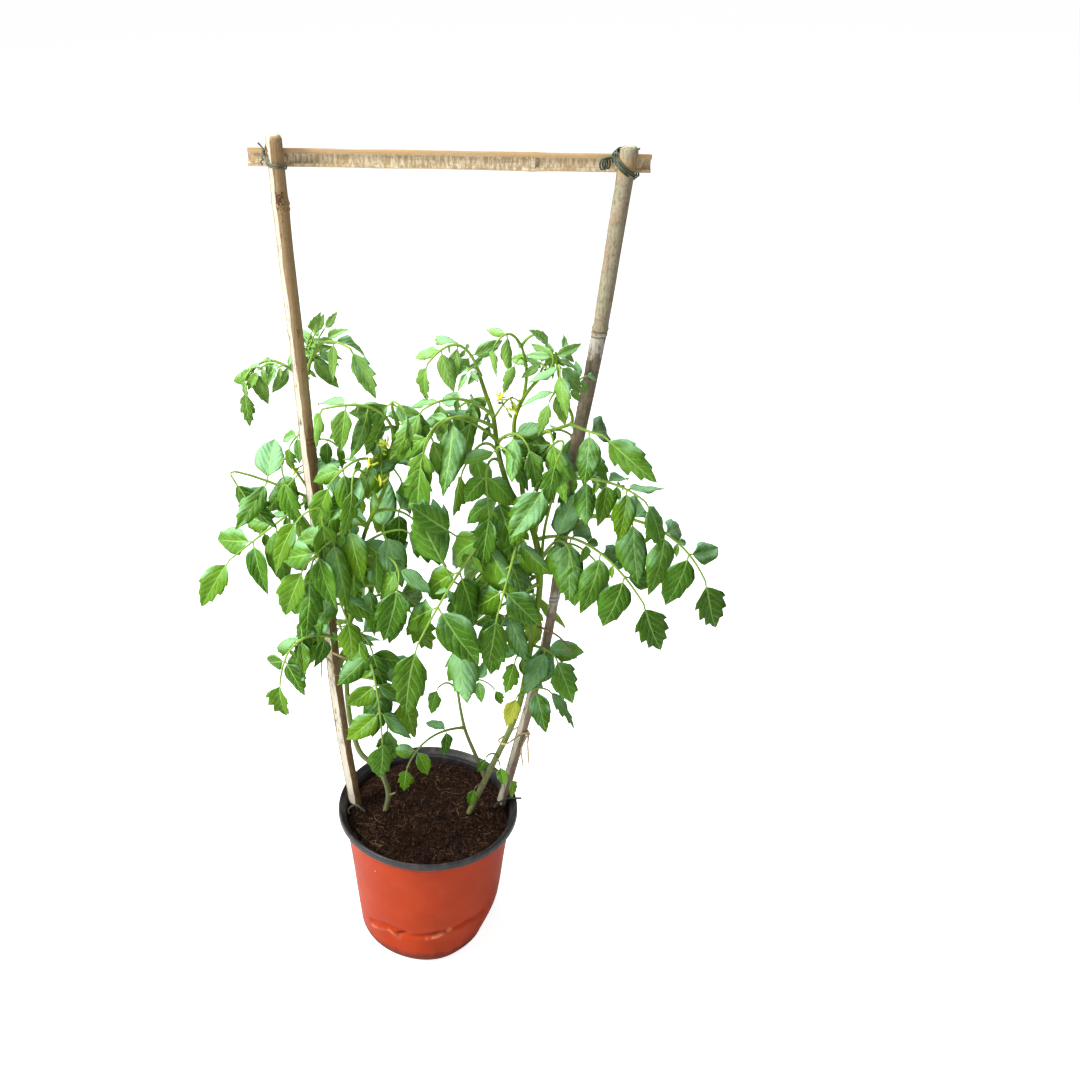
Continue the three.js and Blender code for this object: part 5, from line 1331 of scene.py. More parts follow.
def build_stake(context, name, node, materials, slot):
    stake = STAKES[node]
    swell = settings(context).bamboo.node_swell
    path = smooth_path(sunk(stake.line, STAKE_DEPTH), 0.0016)
    outline, marks = stake_outline()
    last = len(path) - 1
    frames, sizes = [], []
    for i, point in enumerate(path):
        t = i / last
        turned = mixed(*stake.rind, t) + 5 * noise.noise(point * 22)
        frames.append(frame_at(path, i, compass(turned)))
        wobble = 1 + 0.035 * noise.noise(point * 35)
        worn = {0: 0.9, last: 0.66, last - 1: 0.88, last - 2: 0.97}.get(i, 1)
        sizes.append(mixed(*stake.radius, t) * node_shape(point.z, stake.nodes, swell) * wobble * worn)
    bm = sweep(outline, frames, sizes, 0, marks)
    mark = bm.verts.layers.float["mark"]
    for face in bm.faces:
        if len(face.verts) > 4 or all(v[mark] > 0.5 for v in face.verts):
            face.material_index = 1
    for vert in bm.verts:
        if vert[mark] > 0.5:
            torn = Vector((vert.co.x * 420, vert.co.y * 420, vert.co.z * 60))
            vert.co += compass(mixed(*stake.rind, 0.5)) * noise.noise(torn) * 0.0007
        for scar in SCARS:
            near = hump((vert.co - Vector(scar)).length, SCAR_WIDTH)
            if near > 0.01:
                rough = noise.noise(vert.co * 420) * 0.0016 + noise.noise(vert.co * 900) * 0.0007
                vert.co.y += (rough - 0.0004) * near
    finish_piece(context, name, bm, materials, slot, node, crisp=55)


BAR_ENDS = [Vector((-0.162, 0.0196, 0.914)), Vector((0.202, 0.018, 0.908))]
BAR_HALF, BAR_DEPTH, BAR_WALL = 0.00825, 0.007, 0.0026
BAR_RIM = 0.0042  # the skin shows above the hollow, on the wall's split edge
SEPTUM_X, SEPTUM_THICKNESS = 0.095, 0.0045


def curve_points(start, control, end, count):
    """Points of a quadratic curve, without its end."""
    points = []
    for i in range(count):
        t = i / count
        points.append(tuple(
            (1 - t) ** 2 * a + 2 * t * (1 - t) * b + t * t * c
            for a, b, c in zip(start, control, end)))
    return points


def bar_outline():
    """Across the bar: x up, y to the front. The skin goes round the back, the pith faces the
    front."""
    half, deep = BAR_HALF, BAR_DEPTH
    inner, floor = BAR_HALF - BAR_WALL, BAR_WALL - BAR_DEPTH
    above = BAR_HALF - BAR_RIM
    skin = curve_points((-half, 0), (-half, -deep), (0, -deep), 8)
    skin += curve_points((0, -deep), (half, -deep), (half, 0), 8)
    skin += curve_points((half, 0), (half - 0.001, 0.0006), (above, 0), 4)
    pith = curve_points((above, 0), (above * 0.8, floor), (0, floor), 8)
    pith += curve_points((0, floor), (-inner * 0.8, floor), (-inner, 0), 8)
    pith += curve_points((-inner, 0), (-half + 0.001, 0.0003), (-half, 0), 3)
    return skin + pith, [0.0] * len(skin) + [1.0] * len(pith)


def build_crossbar(context, materials):
    start, end = BAR_ENDS
    path = smooth_path([start, start.lerp(end, 0.5), end], 0.0018)
    outline, marks = bar_outline()
    front = Vector((0, -1, 0))
    frames, sizes = [], []
    for i, point in enumerate(path):
        along = (end - start).normalized()
        rise = front.cross(along).normalized()
        placed = Matrix((rise, front, along)).transposed().to_4x4()
        placed.translation = point + rise * 0.0004 * noise.noise(point * 18)
        frames.append(placed)
        swell = 0.05 * hump(point.x - SEPTUM_X, 0.005)
        sizes.append(1 + swell + 0.03 * noise.noise(point * 30))
    bm = sweep(outline, frames, sizes, 0, marks)
    mark = bm.verts.layers.float["mark"]
    for face in bm.faces:
        if len(face.verts) > 4 or sum(v[mark] for v in face.verts) > 2.5:
            face.material_index = 1
    for vert in bm.verts:
        if vert[mark] > 0.5:
            torn = Vector((vert.co.x * 260, vert.co.y * 400, vert.co.z * 120))
            vert.co.y += noise.noise(torn) * 0.0005
            vert.co.z += noise.noise(torn + front * 9) * 0.00025
    inner, floor = BAR_HALF - BAR_WALL, BAR_WALL - BAR_DEPTH
    plug = curve_points((inner, -0.0008), (0, -0.0016), (-inner, -0.0008), 8)
    plug += curve_points((-inner, -0.0008), (-inner, floor), (0, floor - 0.0006), 6)
    plug += curve_points((0, floor - 0.0006), (inner, floor), (inner, -0.0008), 6)
    middle = start.lerp(end, (SEPTUM_X - start.x) / (end.x - start.x))
    places = []
    for away in (-1, -0.75, 0, 0.75, 1):
        placed = frames[0].copy()
        placed.translation = middle + along * away * SEPTUM_THICKNESS / 2
        places.append(placed)
    join(bm, sweep(plug, places, (0.9, 1, 1.02, 1, 0.9), 1))
    finish_piece(context, "bamboo_crossbar", bm, materials, "bamboo_pale", "crossbar")


# ---- Ties ---------------------------------------------------------------------------------

def lashing_path(lashing):
    """Wire round a stake and the bar behind it, on the slant."""
    points = [Vector(p) for p in lashing.start]
    for turn in range(lashing.turns):
        points += [Vector(p) + Vector(lashing.step) * turn for p in lashing.turn]
    return points + [Vector(p) for p in lashing.end]


def twine_path(twine, radius):
    """Twine round a stem and its stake, with its two ends hanging."""
    stops = 14
    points = [Vector(p) for p in twine.start]
    for i in range(stops + 1):
        outward = compass(twine.knot + i / stops * 360 * twine.share)
        x, y, r = max(twine.round, key=lambda c: outward.dot(Vector((c[0], c[1], 0))) + c[2])
        points.append(Vector((x, y, twine.height + i / stops * twine.rise))
                      + outward * (r + radius + 0.0006))
    return points + [Vector(p) for p in twine.end]


def build_twine(context, name, node, material):
    """Two flat strands twisted loosely together, knotted and frayed."""
    radius = settings(context).ties.twine_radius
    rng = random.Random(len(name))
    points = twine_path(TWINES[node], radius)
    path = smooth_path(points, 0.0012)
    bm = bmesh.new()
    for strand in (0, 1):
        frames = []
        for i, placed in enumerate(frames_along(path, (0, 0, 1))):
            turn = strand * math.pi + i * 0.11
            side = Matrix.Translation((radius * 0.45, 0, 0))
            frames.append(placed @ Matrix.Rotation(turn, 4, "Z") @ side)
        sizes = [radius * (0.8 + 0.15 * noise.noise(p * 300)) for p in path]
        join(bm, sweep(round_outline(8, 0.5, 1.0), frames, sizes))
    for end, before in ((path[0], path[4]), (path[-1], path[-5])):
        out = (end - before).normalized()
        for _ in range(7):
            lean = Vector((rng.gauss(0, 0.35), rng.gauss(0, 0.35), rng.gauss(-0.2, 0.3)))
            length = rng.uniform(0.004, 0.011)
            reach = [end - out * 0.004, end + (out + lean * 0.5) * length * 0.5,
                     end + (out + lean) * length]
            join(bm, tube(reach, (radius * 0.35, radius * 0.12), 4, 0.003))
    knot = (Vector(points[2]) + Vector(points[-3])) / 2
    loop = [knot + compass(a) * 0.0024 + UP * (0.0016 * math.sin(math.radians(2 * a)))
            for a in range(0, 420, 40)]
    join(bm, tube(loop, (radius * 0.8, radius * 0.8), 7, 0.001))
    finish_piece(context, name, bm, [material], "twine", node)


# ---- Plants -------------------------------------------------------------------------------

class Midrib:
    """The curve of a compound leaf's midrib, read by share of its length."""

    def __init__(self, leaf):
        root, middle, end = (Vector(p) for p in (leaf.root, leaf.middle, leaf.end))
        self.points = root, middle * 2 - root * 0.5 - end * 0.5, end
        self.reached = [0.0]
        steps = [self.place(i / 100) for i in range(101)]
        for before, after in pairwise(steps):
            self.reached.append(self.reached[-1] + (after - before).length)
        self.length = self.reached[-1]

    def place(self, t):
        root, control, end = self.points
        return root * (1 - t) ** 2 + control * (2 * t * (1 - t)) + end * t * t

    def at(self, share):
        """Place and direction at a share of the length."""
        goal = share * self.length
        k = next((i for i in range(1, 101) if self.reached[i] >= goal), 100)
        span = self.reached[k] - self.reached[k - 1]
        t = (k - 1 + (goal - self.reached[k - 1]) / span) / 100
        root, control, end = self.points
        along = (control - root) * (1 - t) + (end - control) * t
        return self.place(t), along.normalized()


# A leaflet's frame: foot, direction to the tip, across it, and out of its upper face.
# Teeth is their depth, and kind the column of BLADE_ROWS that gives them.
Blade = namedtuple("Blade", "foot direction across normal length width teeth kind tone warm key")


def blades_of(leaf, width_share):
    """The leaflets of a compound leaf, side pairs first and the end one last."""
    midrib = Midrib(leaf)
    facing = compass(leaf.facing) * LEVEL_LOOK + UP * UPWARD_LOOK
    height = min(1, max(0, (leaf.end[2] - 0.25) / 0.5))
    blades = []

    def grow(at, turn, outward, length, key, flip):
        place, along = midrib.at(at)
        side = along.cross(facing).normalized()
        angle = math.radians(turn + TURN_SCATTER * (scatter(key) - 0.5))
        direction = along * math.cos(angle) + side * outward * math.sin(angle)
        direction.z -= leaf.hang * (0.75 + 0.5 * scatter(key + 1))
        direction.normalize()
        look = facing + side * 0.4 * (scatter(key + 2) - 0.5)
        grown = length * (0.9 + 0.2 * scatter(key + 3))
        forward = along if outward else side
        across = look.cross(direction).normalized()
        if across.dot(forward) < 0:
            across.negate()
        across += (forward - direction * forward.dot(direction)) * NECK_TWIST
        across.normalize()
        normal = direction.cross(across) * (-1 if flip else 1)
        if across.cross(direction).dot(normal) < 0:
            across.negate()
        roll, dip = 0.9 * (scatter(key + 7) - 0.5), 0.5 * (scatter(key + 8) - 0.4)
        direction, normal = (direction * math.cos(dip) - normal * math.sin(dip),
                             normal * math.cos(dip) + direction * math.sin(dip))
        across, normal = (across * math.cos(roll) + normal * math.sin(roll),
                          normal * math.cos(roll) - across * math.sin(roll))
        grown *= (SIDE_GROWTH if outward else END_GROWTH) * (0.94 + 0.16 * scatter(key + 9))
        width = width_share * grown * (0.68 + 0.34 * scatter(key + 10))
        width *= min(1, FULL_LEAFLET / grown) ** 0.5 * (1 - 0.3 * max(0, height - 0.6) / 0.4)
        teeth = 0.7 if grown < YOUNG_LEAFLET else 1
        tone = 0.25 * height + 0.7 * scatter(key + 5)
        tone += 0.2 if leaf.size < YOUNG_LEAFLET else 0
        # Painted sunlight: how far a leaflet takes the yellow-green of sunlit leaves, more often low down.
        warm = scatter(key + 11) ** 2 * (1.3 - 0.8 * height)
        if leaf.root == YELLOWED:
            tone = 1.9
        blades.append(Blade(place, direction, across, normal, grown, width, teeth,
                            3 if outward == 0 else 2, tone, warm, key))

    for pair in range(leaf.pairs):
        share = pair / (leaf.pairs - 1) if leaf.pairs > 1 else LONE_PAIR
        length = leaf.size * SIDE_LEAFLET * (1 - 0.25 * abs(share - LONE_PAIR))
        turn = SIDE_TURN - SIDE_TURN_FALL * share
        at = mixed(PAIR_START, PAIR_END, share)
        key = leaf.draw * 50 + pair * 8
        grow(at, turn, 1, length, key, False)
        grow(at, turn, -1, length, key + 4, True)
    if leaf.pairs > 1 and leaf.size > SMALL_FROM:
        for pair in range(leaf.pairs):
            share = (pair - 0.5) / (leaf.pairs - 1)
            key = leaf.draw * 50 + 600 + pair * 8
            length = leaf.size * (0.16 + 0.12 * scatter(key + 6))
            for outward in (1, -1):
                grow(mixed(PAIR_START, PAIR_END, share), SMALL_TURN, outward, length,
                     key + 2 * outward, outward < 0)
    grow(1, 0, 0, leaf.size, leaf.draw * 50 + 44, True)
    return midrib, blades


YELLOWED = (0.105, -0.003, 0.334)  # root of the one yellowed leaflet
BLADE_COLUMNS = 6


def add_blade(whole, blade):
    """One leaflet's sheet: folded along its rib, domed, arched, twisted and rippled."""
    quirk = random.Random(blade.key)
    young = blade.length < YOUNG_LEAFLET
    fold = quirk.uniform(0.3, 0.8) if young else quirk.uniform(-0.15, 0.8)
    dome = quirk.uniform(0, 0.3) if young else quirk.uniform(0, 0.9)
    arch = LEAF_ARCH * quirk.uniform(0.3, 2.2)
    bend = quirk.uniform(-0.16, 0.16)
    twist = quirk.uniform(-0.7, 0.7)
    ripple = quirk.uniform(0.012, 0.045)
    phase = quirk.uniform(0, 6)
    shallow, deep = (0.3, 1.15) if blade.kind == 3 else (0, 0.9)
    halves = {side: (quirk.uniform(0.86, 1.08), blade.teeth * quirk.uniform(shallow, deep))
              for side in (-1, 1)}
    slips = [quirk.uniform(-0.015, 0.015) for _ in BLADE_ROWS]

    def edge(place):
        """Share of the length, half width and tooth's lean at a point of the grid."""
        row = round((place.y + 1) / 2 * rows)
        t, half, lean = BLADE_ROWS[row][0], BLADE_ROWS[row][1], BLADE_ROWS[row][4]
        size, depth = halves[1 if place.x > 0 else -1]
        slip = slips[row] if 0 < row < rows else 0
        return t + slip, (half + depth * BLADE_ROWS[row][blade.kind]) * size, lean * depth

    bm = bmesh.new()
    uv = bm.loops.layers.uv.new("UVMap")
    tone = bm.verts.layers.float.new("tone")
    warm = bm.verts.layers.float.new("warm")
    rows = len(BLADE_ROWS) - 1
    bmesh.ops.create_grid(bm, x_segments=BLADE_COLUMNS, y_segments=rows, size=1)
    for face in bm.faces:
        for loop in face.loops:
            t, half, _ = edge(loop.vert.co)
            loop[uv].uv = (0.5 + loop.vert.co.x * half / 2, t)
    for vert in bm.verts:
        t, half, forward = edge(vert.co)
        share = t + forward * abs(vert.co.x)
        side = vert.co.x * half
        reach = STALK + (1 - STALK) * share
        lift = blade.width / 2 * (fold * abs(side) - dome * side * side)
        lift -= arch * blade.length * reach * reach
        wave = math.sin(phase + share * 14 + (2.2 if side > 0 else 0))
        lift += ripple * blade.length * side * side * wave
        turn = twist * share
        across = blade.across * math.cos(turn) + blade.normal * math.sin(turn)
        vert.co = (blade.foot + blade.direction * blade.length * reach
                   + across * side * blade.width / 2
                   + blade.across * bend * blade.length * reach * reach
                   + blade.normal * lift)
        vert[tone] = blade.tone
        vert[warm] = blade.warm
    join(whole, bm)


def add_stalk(whole, blade, radius):
    """A leaflet's own stalk, running a little way under its blade."""
    points = [blade.foot]
    for share in (0.05, STALK, STALK + 0.12):
        drop = -LEAF_ARCH * blade.length * share * share - 0.0002
        points.append(blade.foot + blade.direction * blade.length * share + blade.normal * drop)
    join(whole, tube(points, (radius, radius * 0.8, radius * 0.35), 6, 0.004, 2))


def add_hairs(whole, points, radii, per_metre, rng):
    """Fine short hairs standing off a stem."""
    step = 0.002
    path = smooth_path(points, step)
    frames = frames_along(path)
    count = int(per_metre * step * len(path))
    for _ in range(count):
        i = rng.randrange(len(path))
        radius = mixed(*radii, i / len(path))
        length = rng.uniform(0.0006, 0.0014)
        turn = Matrix.Rotation(rng.uniform(0, 2 * math.pi), 4, "Z")
        out = Matrix.Translation((radius + length * 0.4, 0, rng.uniform(-0.001, 0.001)))
        lie = Matrix.Rotation(math.pi / 2 + rng.uniform(-0.4, 0.4), 4, "Y")
        bmesh.ops.create_cone(
            whole, cap_ends=True, segments=3, radius1=0.00006, radius2=0.00001,
            depth=length, matrix=frames[i] @ turn @ out @ lie)


def flower_frame(flower):
    up = math.radians(flower.up)
    axis = compass(flower.turned) * math.cos(up) + UP * math.sin(up)
    turned = UP.rotation_difference(axis).to_matrix().to_4x4()
    return Matrix.Translation(flower.at) @ turned


def add_calyx(whole, flower):
    """A flower's stalk, its green cup and five narrow sepals behind the petals."""
    placed = flower_frame(flower)
    back = placed @ (UP * -0.001)
    join(whole, tube([flower.root, flower.at, back], (0.0008, 0.0007), 7, 0.002))
    cup = [placed @ (UP * z) for z in (-0.001, 0, 0.0012, CALYX_LENGTH)]
    join(whole, tube(cup, (0.0008, 0.0014, 0.0017, 0.0013), 10, 0.0006))
    for k in range(PETALS):
        out = compass((k + 0.5) * 360 / PETALS)
        points = [placed @ (out * r + UP * z) for r, z in (
            (0.0008, 0.0012), (0.003, 0.0014), (0.0052, 0.0006), (0.0072, -0.0012))]
        path = smooth_path(points, 0.0012)
        sizes = [0.0009 * math.sin(math.pi * min(0.97, 0.3 + 0.68 * i / (len(path) - 1)))
                 for i in range(len(path))]
        frames = frames_along(path, placed.to_3x3() @ UP)
        join(whole, sweep(round_outline(6, 0.3, 1.0), frames, sizes))


def add_bud(whole, root, tip):
    """A closed flower bud on its stalk."""
    root, tip = Vector(root), Vector(tip)
    out = (tip - root).normalized()
    droop = root.lerp(tip, 0.5) + UP * 0.0012
    join(whole, tube([root, droop, tip], (0.0006, 0.0006), 6, 0.002))
    line = [tip + out * s for s in (-0.0006, 0.001, 0.0028, 0.0048, 0.0062)]
    join(whole, tube(line, (0.0006, 0.0015, 0.0016, 0.001, 0.0003), 8, 0.001))


def build_plant(context, plant, name, materials):
    """A plant's stems, stalks and calyxes in one piece, and its leaf sheets in another."""
    chosen = settings(context).plant
    rng = random.Random(name)
    stems, sheets = bmesh.new(), bmesh.new()
    for key, stem in STEMS.items():
        if stem.plant != plant:
            continue
        line = sunk(stem.line, ROOT_DEPTH) if rooted(stem) else stem.line
        dry = 1 if key == "right_dry" else 0
        sides = 14 if stem.radius[0] > 0.002 else 10
        join(stems, tube(line, stem.radius, sides, 0.004, dry))
        if not dry:
            add_hairs(stems, stem.line, stem.radius, chosen.hairs, rng)
    for leaf in starmap(Leaf, LEFT_LEAVES if plant == LEFT else RIGHT_LEAVES):
        midrib, blades = blades_of(leaf, chosen.leaflet_width)
        radius = RACHIS_RADIUS * min(1, 0.5 + leaf.size / 0.08)
        points = [midrib.at(s)[0] for s in (0, 0.08, 0.2, 0.35, 0.5, 0.65, 0.8, 0.92, 1)]
        profile = (radius * 1.7, radius * 1.15, radius, radius * 0.95, radius * 0.9,
                   radius * 0.82, radius * 0.74, radius * 0.68, radius * 0.6)
        join(stems, tube(points, profile, 8, 0.006, 2))
        for blade in blades:
            add_blade(sheets, blade)
            add_stalk(stems, blade, min(radius * 0.66, blade.length * 0.02))
    for flower in FLOWERS:
        if flower.plant != plant:
            continue
        add_calyx(stems, flower)
        for _ in range(2):
            away = Vector((rng.uniform(-0.008, 0.008), rng.uniform(-0.009, -0.002),
                           rng.uniform(-0.008, 0.006)))
            add_bud(stems, flower.root, Vector(flower.root) + away)
    stem_materials, leaf_materials = materials
    finish_piece(context, f"{name}_stems", stems, stem_materials, "plant", plant)
    leaves = finish_piece(context, f"{name}_leaves", sheets, leaf_materials, "plant", plant, crisp=180)
    shell = leaves.modifiers.new("blade", "SOLIDIFY")
    shell.thickness = chosen.blade
    shell.offset = -1
    shell.material_offset = 1


# ---- Flowers ------------------------------------------------------------------------------

# A petal from foot to tip: share of its length, and of its greatest half width.
PETAL_SHAPE = [(0, 0.5), (0.16, 0.86), (0.34, 1), (0.52, 0.9), (0.7, 0.64), (0.87, 0.34), (1, 0.04)]


def build_flower(context, number, flower, materials):
    chosen = settings(context).flower
    placed = flower_frame(flower)
    quirk = random.Random(number)
    foot = CALYX_LENGTH + CLEAR
    whole = bmesh.new()
    for k in range(PETALS):
        bm = bmesh.new()
        uv = bm.loops.layers.uv.new("UVMap")
        tone = bm.verts.layers.float.new("tone")
        rows = len(PETAL_SHAPE) - 1
        bmesh.ops.create_grid(bm, x_segments=4, y_segments=rows, size=1)
        out = compass(k * 360 / PETALS + quirk.uniform(-7, 7))
        side = Vector((-out.y, out.x, 0))
        curl = quirk.uniform(0.2, 0.5)
        for face in bm.faces:
            for loop in face.loops:
                loop[uv].uv = loop.vert.co.xy / 2 + Vector((0.5, 0.5))
        for vert in bm.verts:
            t, half = PETAL_SHAPE[round((vert.co.y + 1) / 2 * rows)]
            across = vert.co.x * half
            reach = mixed(0.0012, chosen.petal_length, t)
            rise = foot + 0.0014 - 0.55 * reach + 0.0006 * across * across
            rise -= curl * 0.007 * t ** 3
            vert.co = placed @ (out * reach + side * across * 0.0017 + UP * rise)
            vert[tone] = t
        bmesh.ops.recalc_face_normals(bm, faces=bm.faces)
        bmesh.ops.solidify(bm, geom=bm.faces[:], thickness=0.0003)
        join(whole, bm)
    fluted = [(r * x, r * y) for i, (x, y) in enumerate(round_outline(20))
              for r in [1 if i % 4 else 0.86]]
    heights = (0, 0.0008, 0.0022, 0.0036, 0.005, 0.006)
    cone = [placed @ (UP * (foot + h)) for h in heights]
    join(whole, sweep(fluted, frames_along(cone), (0.0012, 0.0015, 0.0014, 0.0011, 0.0008, 0.0004), 1))
    finish_piece(context, f"blossom_{number}", whole, materials, "petal", f"flower_{number}", crisp=60)


def anther_cone():
    """The orange-yellow cone of anthers."""
    material, where = new_material("anther_cone", 0.35)
    uneven = mottle(where, 600, 0.5)
    base = blend(uneven, shade(206, 196, 40), shade(228, 220, 80))
    return finished(material, base, (uneven, 0, 1, 0.45, 0.6), (cloud(where, 2500), 0.3, 0.0002))


# ---- Stage --------------------------------------------------------------------------------

CAMERA_PLACE = (0.0023, -1.1337, 1.1602)
CAMERA_PITCH = 0.50752  # below level
CAMERA_LENS = 41.73
CAMERA_SHIFT = 0.1019  # the optical axis meets the picture left of its middle


# Name, place, size, share of the key light's power, and colour.
LIGHTS = [
    ("key", (-1.85, -0.75, 1.8), 0.8, 1, (1, 0.99, 0.97)),
    ("overhead", (-0.4, 0.3, 2.6), 1.3, 0.75, (0.93, 0.98, 1)),
    ("front", (-0.4, -2.4, 1.5), 1.5, 0.2, (1, 1, 1)),
]
LIGHT_AIM = (0, 0, 0.45)


def add_light(context, name, place, size, power, colour):
    lamp = bpy.data.lights.new(name, "AREA")
    lamp.shape = "DISK"
    lamp.size = size
    lamp.energy = power
    lamp.color = colour
    light = add_object(context, name, lamp)
    light.location = place
    light.rotation_euler = (Vector(LIGHT_AIM) - Vector(place)).to_track_quat("-Z", "Y").to_euler()


def build_stage(context):
    chosen = settings(context).stage
    material, where = new_material("floor_paper", 0.2, Emission_Strength=0.8)
    uneven = mottle(where, 2, 0.2)
    base = blend(times(uneven, 0.1), chosen.floor, shade(238, 238, 238))
    glow = blend(seen(material.node_tree), (0, 0, 0, 1), (1, 1, 1, 1))
    finished(material, base, (uneven, 0, 1, 0.85, 0.9), glow=glow)
    bm = bmesh.new()
    bmesh.ops.create_grid(bm, x_segments=8, y_segments=8, size=20)
    mesh = mesh_of("floor", bm)
    mesh.materials.append(material)
    floor = add_object(context, "floor", mesh)
    world = bpy.data.worlds.new("studio")
    world.use_nodes = True
    sky = world.node_tree.nodes["Background"].inputs
    sky["Color"].default_value = (1, 1, 1, 1)
    strength = spread(seen(world.node_tree), 0, 1, 0.2, 1)
    world.node_tree.links.new(strength, sky["Strength"])
    context.scene.world = world
    for name, place, size, share, colour in LIGHTS:
        add_light(context, name, place, size, chosen.key_power * share, colour)
    lens = bpy.data.cameras.new("camera")
    lens.sensor_width = 36
    lens.lens = CAMERA_LENS
    lens.shift_x = CAMERA_SHIFT
    camera = add_object(context, "camera", lens)
    camera.location = CAMERA_PLACE
    camera.rotation_euler = (math.pi / 2 - CAMERA_PITCH, 0, 0)
    context.scene.camera = camera
    context.scene.view_settings.view_transform = "Standard"


# ---- Operators and panel ------------------------------------------------------------------

class TOMATO_OT_pot(bpy.types.Operator):
    """Build the two-tone pot with its rolled lip, creased wall and drain holes"""
    bl_idname = "tomato.pot"
    bl_label = "Pot"

    def execute(self, context):
        build_pot(context)
        return {"FINISHED"}


class TOMATO_OT_soil(bpy.types.Operator):
    """Build the soil with its crumbs and fibres"""
    bl_idname = "tomato.soil"
    bl_label = "Soil"

    def execute(self, context):
        build_soil(context)
        return {"FINISHED"}


class TOMATO_OT_stakes(bpy.types.Operator):
    """Build the two split-bamboo stakes"""
    bl_idname = "tomato.stakes"
    bl_label = "Stakes"

    def execute(self, context):
        chosen = settings(context).bamboo
        # The tan stake's darker brown lower colours, below 0.655, are painted shade of the leaves over it.
        tan = bamboo_rind(
            "bamboo_tan", (chosen.tan, shade(150, 116, 76)),
            (shade(138, 106, 70), shade(92, 68, 44)), 0.655, (0.64,), 0, 0.12)
        grey = bamboo_rind(
            "bamboo_grey", (chosen.grey, shade(138, 132, 104)),
            (shade(136, 126, 108), shade(98, 84, 70)), 0.735, (0.752, 0.454), 0.6, 0.5,
            [(0.899, 0.921)])
        build_stake(context, "bamboo_left", "stake_left",
                    [tan, bamboo_cut("tan_cut", shade(190, 184, 166))], "bamboo_tan")
        build_stake(context, "bamboo_right", "stake_right",
                    [grey, bamboo_cut("grey_cut", shade(196, 186, 164))], "bamboo_grey")
        return {"FINISHED"}


class TOMATO_OT_crossbar(bpy.types.Operator):
    """Build the crossbar, a half culm with its hollow side to the front"""
    bl_idname = "tomato.crossbar"
    bl_label = "Crossbar"

    def execute(self, context):
        chosen = settings(context).bamboo
        build_crossbar(context, [bamboo_skin(shade(190, 156, 112)), bamboo_pith(chosen.pith)])
        return {"FINISHED"}


class TOMATO_OT_wires(bpy.types.Operator):
    """Build the wire lashings at the crossings and the wires at the stakes' feet"""
    bl_idname = "tomato.wires"
    bl_label = "Wires"

    def execute(self, context):
        chosen = settings(context).ties
        green = coated_wire("green_wire", chosen.wire, shade(72, 104, 78))
        faded = coated_wire("faded_wire", shade(74, 80, 68), shade(128, 134, 118))
        dark = coated_wire("dark_wire", shade(46, 50, 46), shade(92, 94, 86))
        radius = (chosen.wire_radius, chosen.wire_radius)
        for (node, lashing), colour in zip(LASHINGS.items(), (faded, green)):
            wire = tube(lashing_path(lashing), radius, 10, 0.0012)
            finish_piece(context, node.replace("wire_tie", "lashing"), wire, [colour], "wire", node)
        for node, points in RIM_WIRES.items():
            wire = tube(points, [r * 1.6 for r in radius], 10, 0.001)
            finish_piece(context, node.replace("rim_wire", "foot_wire"), wire, [dark], "wire_dark", node)
        return {"FINISHED"}


class TOMATO_OT_twine(bpy.types.Operator):
    """Build the twine ties that hold the stems to the stakes"""
    bl_idname = "tomato.twine"
    bl_label = "Twine"

    def execute(self, context):
        material = dry_twine(settings(context).ties.twine)
        build_twine(context, "twine_left", "raffia_tie_left", material)
        build_twine(context, "twine_right", "raffia_tie_right", material)
        return {"FINISHED"}


class TOMATO_OT_plants(bpy.types.Operator):
    """Build both plants: stems with hairs, compound leaves with stalks, calyxes and buds"""
    bl_idname = "tomato.plants"
    bl_label = "Plants"

    def execute(self, context):
        chosen = settings(context).plant
        materials = ([green_stem("green_stem", chosen.stem, shade(76, 104, 10)), dried_stem(),
                      green_stem("green_stalk", chosen.stalk, shade(110, 148, 44))],
                     [leaf_upper(chosen), leaf_under(chosen)])
        build_plant(context, LEFT, "left", materials)
        build_plant(context, RIGHT, "right", materials)
        return {"FINISHED"}


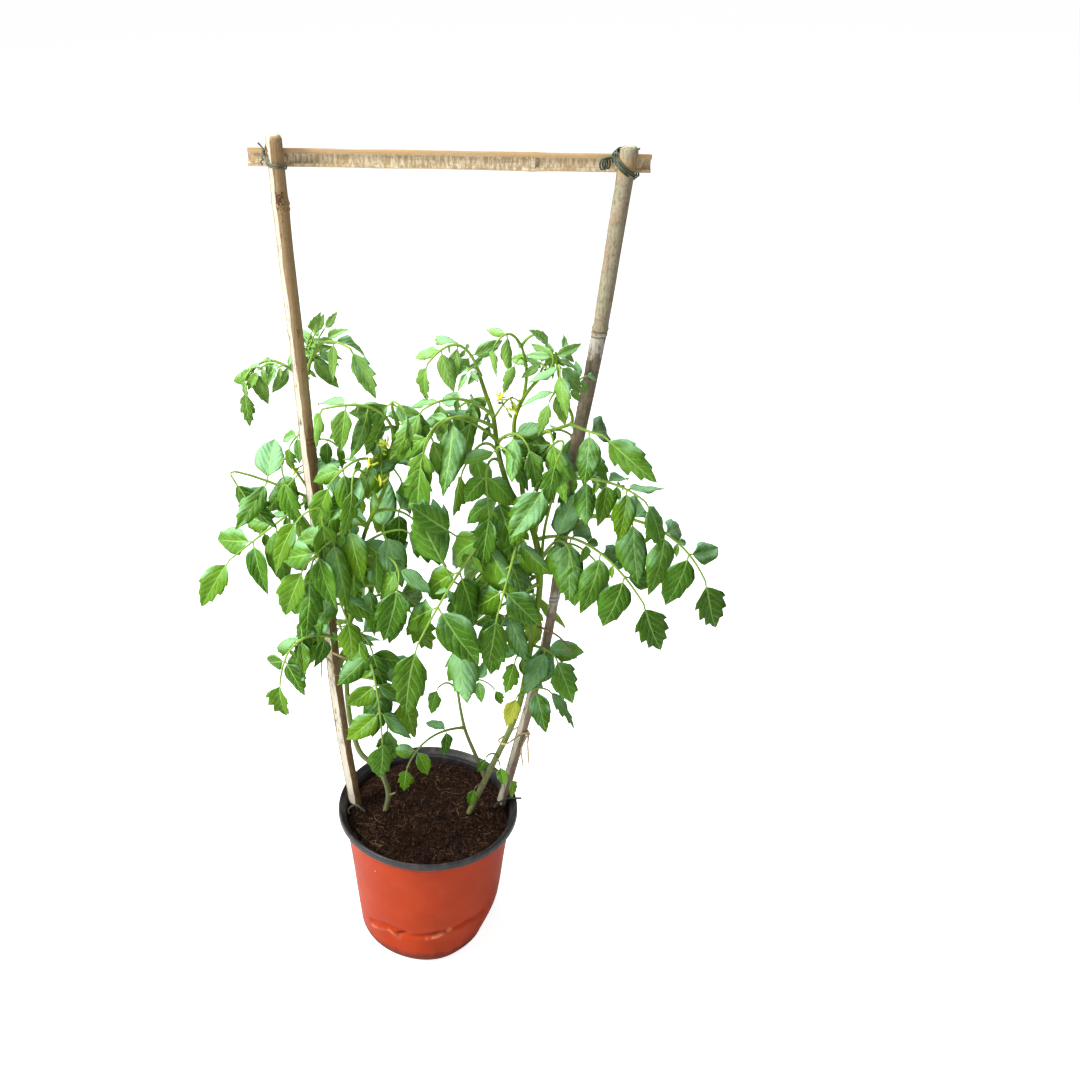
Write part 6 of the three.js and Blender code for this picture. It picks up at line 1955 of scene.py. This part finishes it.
class TOMATO_OT_flowers(bpy.types.Operator):
    """Build the yellow flowers"""
    bl_idname = "tomato.flowers"
    bl_label = "Flowers"

    def execute(self, context):
        materials = [flower_petal(settings(context).flower.petal), anther_cone()]
        for number, flower in enumerate(FLOWERS, 1):
            build_flower(context, number, flower, materials)
        return {"FINISHED"}


class TOMATO_OT_stage(bpy.types.Operator):
    """Build the floor, the soft lights and the camera"""
    bl_idname = "tomato.stage"
    bl_label = "Stage"

    def execute(self, context):
        build_stage(context)
        return {"FINISHED"}


class TomatoSettings(bpy.types.PropertyGroup):
    pot: PointerProperty(type=PotSettings)
    soil: PointerProperty(type=SoilSettings)
    bamboo: PointerProperty(type=BambooSettings)
    ties: PointerProperty(type=TieSettings)
    plant: PointerProperty(type=PlantSettings)
    flower: PointerProperty(type=FlowerSettings)
    stage: PointerProperty(type=StageSettings)


STEPS = [
    (TOMATO_OT_pot, "pot"), (TOMATO_OT_soil, "soil"), (TOMATO_OT_stakes, "bamboo"),
    (TOMATO_OT_crossbar, "bamboo"), (TOMATO_OT_wires, "ties"), (TOMATO_OT_twine, "ties"),
    (TOMATO_OT_plants, "plant"), (TOMATO_OT_flowers, "flower"), (TOMATO_OT_stage, "stage"),
]


class TOMATO_PT_parts(bpy.types.Panel):
    bl_idname = "TOMATO_PT_parts"
    bl_label = "Potted tomato plant"
    bl_space_type = "VIEW_3D"
    bl_region_type = "UI"
    bl_category = "Tomato"

    def draw(self, context):
        shown = set()
        for operator, group in STEPS:
            box = self.layout.box()
            box.operator(operator.bl_idname)
            if group in shown:
                continue
            shown.add(group)
            chosen = getattr(settings(context), group)
            for name in chosen.__annotations__:
                box.prop(chosen, name)


CLASSES = [
    PotSettings, SoilSettings, BambooSettings, TieSettings, PlantSettings, FlowerSettings,
    StageSettings, TomatoSettings, *(operator for operator, _ in STEPS), TOMATO_PT_parts,
]


def register():
    for cls in CLASSES:
        bpy.utils.register_class(cls)
    bpy.types.Scene.tomato_pot = PointerProperty(type=TomatoSettings)


def unregister():
    del bpy.types.Scene.tomato_pot
    for cls in reversed(CLASSES):
        bpy.utils.unregister_class(cls)


def main():
    register()
    for operator, _ in STEPS:
        getattr(bpy.ops.tomato, operator.bl_idname.split(".")[1])()


if __name__ == "__main__":
    main()
